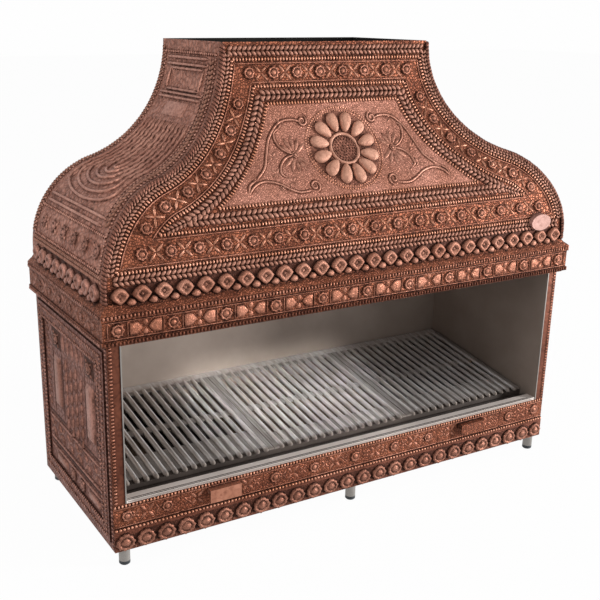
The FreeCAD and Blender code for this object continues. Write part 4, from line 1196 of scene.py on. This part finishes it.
def about_eye(radius, angle):
    """Point on the front sheet at a radius and an angle about the flower's eye."""
    return radius * math.cos(angle), eye_s + radius * math.sin(angle)


petals = []
for i in range(petal_count):
    angle = 2 * math.pi * (i + 0.45) / petal_count
    petals.append(spot(hood_front, *about_eye(petal_reach, angle), petal_size, angle, 0.001))
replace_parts(punched("medallion_petals", petal, petals, plain_copper, seed=27, uneven=0.03), "hood_medallion")
circle = np.linspace(0, 2 * math.pi, 73)
points = []
faces = []
for i, angle in enumerate(circle[:-1]):
    for radius in ground_rings:
        point, out, _, _ = hood_front(*about_eye(radius, angle))
        points.append(point + out * ground_lift)
    now, then = 4 * i, 4 * ((i + 1) % 72)
    faces += [(now + k, now + k + 1, then + k + 1, then + k) for k in range(3)]
keep(plain_mesh("medallion_ground", points, faces, True), shaded_copper)
ring = [about_eye(0.047, angle) for angle in circle]
ridges("medallion_ring", hood_front, [ring + ring[1:5]], 0.0115, 0.007, plain_copper)
halo = along(hood_front, [about_eye(0.128, angle) for angle in circle], 0.0085, (0.0034, 0.0034, 0.003))
halo += along(hood_front, [about_eye(0.119, angle) for angle in circle], 0.0085, (0.003, 0.003, 0.0025))
stipple = []
for radius, count in ((0.0, 1), (0.010, 7), (0.020, 13), (0.030, 19), (0.038, 25)):
    for i in range(count):
        u, s = about_eye(radius, 2 * math.pi * i / count)
        stipple.append(spot(hood_front, u, s, (0.0030, 0.0030, 0.0040)))
punched("medallion_halo", bead, halo, raised_copper, seed=28)
punched("medallion_stipple", bead, stipple, shaded_copper, seed=38)

# Oval plate
# A bare oval plate is cut from paler copper sheet and pinned low on the right of the hood's
# front.

# Plate: pale dusty pink, flat and matt.
badge_copper = copper("Pale copper plate", "#B88C7F", "#AA7E71", "#7A4E3E", mark=30, cut=0.1, tarnish=0.1,
                      roughness=0.6, hollow=3, shine=0.2)
wear(badge_copper, "badge_plate")

# Flue
# A collar folded from steel sheet stands in the open top of the hood and takes the end of a
# duct.

# Soot: black and matt.
soot = steel("Sooted steel", "#2A2724", "#151312", roughness=0.7, grime=0.2)
wear(soot, "flue_collar")

# Every figure has now been struck, so the punches are put away.
for shape in (bead, rosette, lobe, bud, fan, tile, leaf, petal):
    bpy.data.objects.remove(shape)

# Studio
# The grill stands on a white paper sweep under large soft lamps, as in a catalogue picture, with
# one narrow lamp on the grates. The camera has the photograph's view.
floor_mesh = plain_mesh("floor", [(-30, -30, 0), (30, -30, 0), (30, 30, 0), (-30, 30, 0)], [(0, 1, 2, 3)])
floor = bpy.data.objects.new("floor", floor_mesh)
scene.collection.objects.link(floor)


def seen_rays(tree, share):
    """Share of a white backdrop for rays that see it, straight or in metal and glass."""
    rays = add_node(tree, "ShaderNodeLightPath").outputs
    mirrored = add_node(tree, "ShaderNodeMath", {
        0: rays["Is Glossy Ray"], 1: rays["Is Transmission Ray"]}, operation="MAXIMUM")
    either = add_node(tree, "ShaderNodeMath", {
        0: rays["Is Camera Ray"], 1: mirrored.outputs["Value"]}, operation="MAXIMUM")
    seen = add_node(tree, "ShaderNodeMath", {0: either.outputs["Value"], 1: share}, operation="MULTIPLY")
    return seen.outputs["Value"]


# Paper: white and matt, and plain white to the camera but for the grill's shadow.
white = bpy.data.materials.new("White paper sweep")
white.use_nodes = True
paper = white.node_tree
paper_shader = paper.nodes["Principled BSDF"]
paper_shader.inputs["Base Color"].default_value = linear("#FAFAFA")
paper_shader.inputs["Roughness"].default_value = 0.9
glow = add_node(paper, "ShaderNodeEmission", {"Color": linear("#FFFFFF"), "Strength": 1.0})
blend = add_node(paper, "ShaderNodeMixShader", {
    0: seen_rays(paper, 0.97), 1: paper_shader.outputs["BSDF"], 2: glow.outputs["Emission"]})
paper.links.new(blend.outputs["Shader"], paper.nodes["Material Output"].inputs["Surface"])
floor_mesh.materials.append(white)

world = bpy.data.worlds.new("Studio")
world.use_nodes = True
scene.world = world
sky = world.node_tree
room = add_node(sky, "ShaderNodeBackground", {"Color": linear("#E8E6E8"), "Strength": 0.40})
backdrop = add_node(sky, "ShaderNodeBackground", {"Color": linear("#FEFEFE"), "Strength": 1.0})
mixed = add_node(sky, "ShaderNodeMixShader", {
    0: seen_rays(sky, 1.0), 1: room.outputs["Background"], 2: backdrop.outputs["Background"]})
sky.links.new(mixed.outputs["Shader"], sky.nodes["World Output"].inputs["Surface"])


def hang(name, at, aim, power, size):
    """Hangs a square soft lamp and turns it towards a point."""
    lamp = bpy.data.lights.new(name, "AREA")
    lamp.energy = power
    lamp.size = size
    holder = bpy.data.objects.new(name, lamp)
    holder.location = at
    holder.rotation_euler = (Vector(aim) - Vector(at)).to_track_quat("-Z", "Y").to_euler()
    scene.collection.objects.link(holder)
    return lamp


hang("key", (2.0, -3.6, 2.3), (0, -0.1, 0.7), 12, 1.8)
hang("fill", (-3.2, -0.8, 2.4), (0, 0, 0.8), 40, 2.0)
hang("low", (5.9, -3.7, 1.30), (-0.3, 0.1, 0.30), 600, 1.2)
beam = hang("hearth", (-0.35, -2.3, 1.0), (-0.06, -0.09, 0.290), 1.05, 0.60)
beam.shape = "RECTANGLE"
beam.size_y = 0.10
beam.spread = math.radians(7)

lens = bpy.data.cameras.new("camera")
lens.sensor_width = 36.0
lens.lens = 56.28
lens.shift_x = 0.0732
lens.shift_y = 0.0272
camera = bpy.data.objects.new("camera", lens)
scene.collection.objects.link(camera)
stand = (-1.585, -2.431, 1.467)
ahead = Vector((0.4718, 0.8261, -0.3081)).normalized()
sideways = ahead.cross(Vector((0, 0, 1))).normalized()
right = Matrix.Rotation(-0.0091, 3, ahead) @ sideways
up = right.cross(ahead)
camera.matrix_world = Matrix.Translation(stand) @ Matrix((right, up, -ahead)).transposed().to_4x4()
scene.camera = camera
scene.view_settings.view_transform = "Standard"
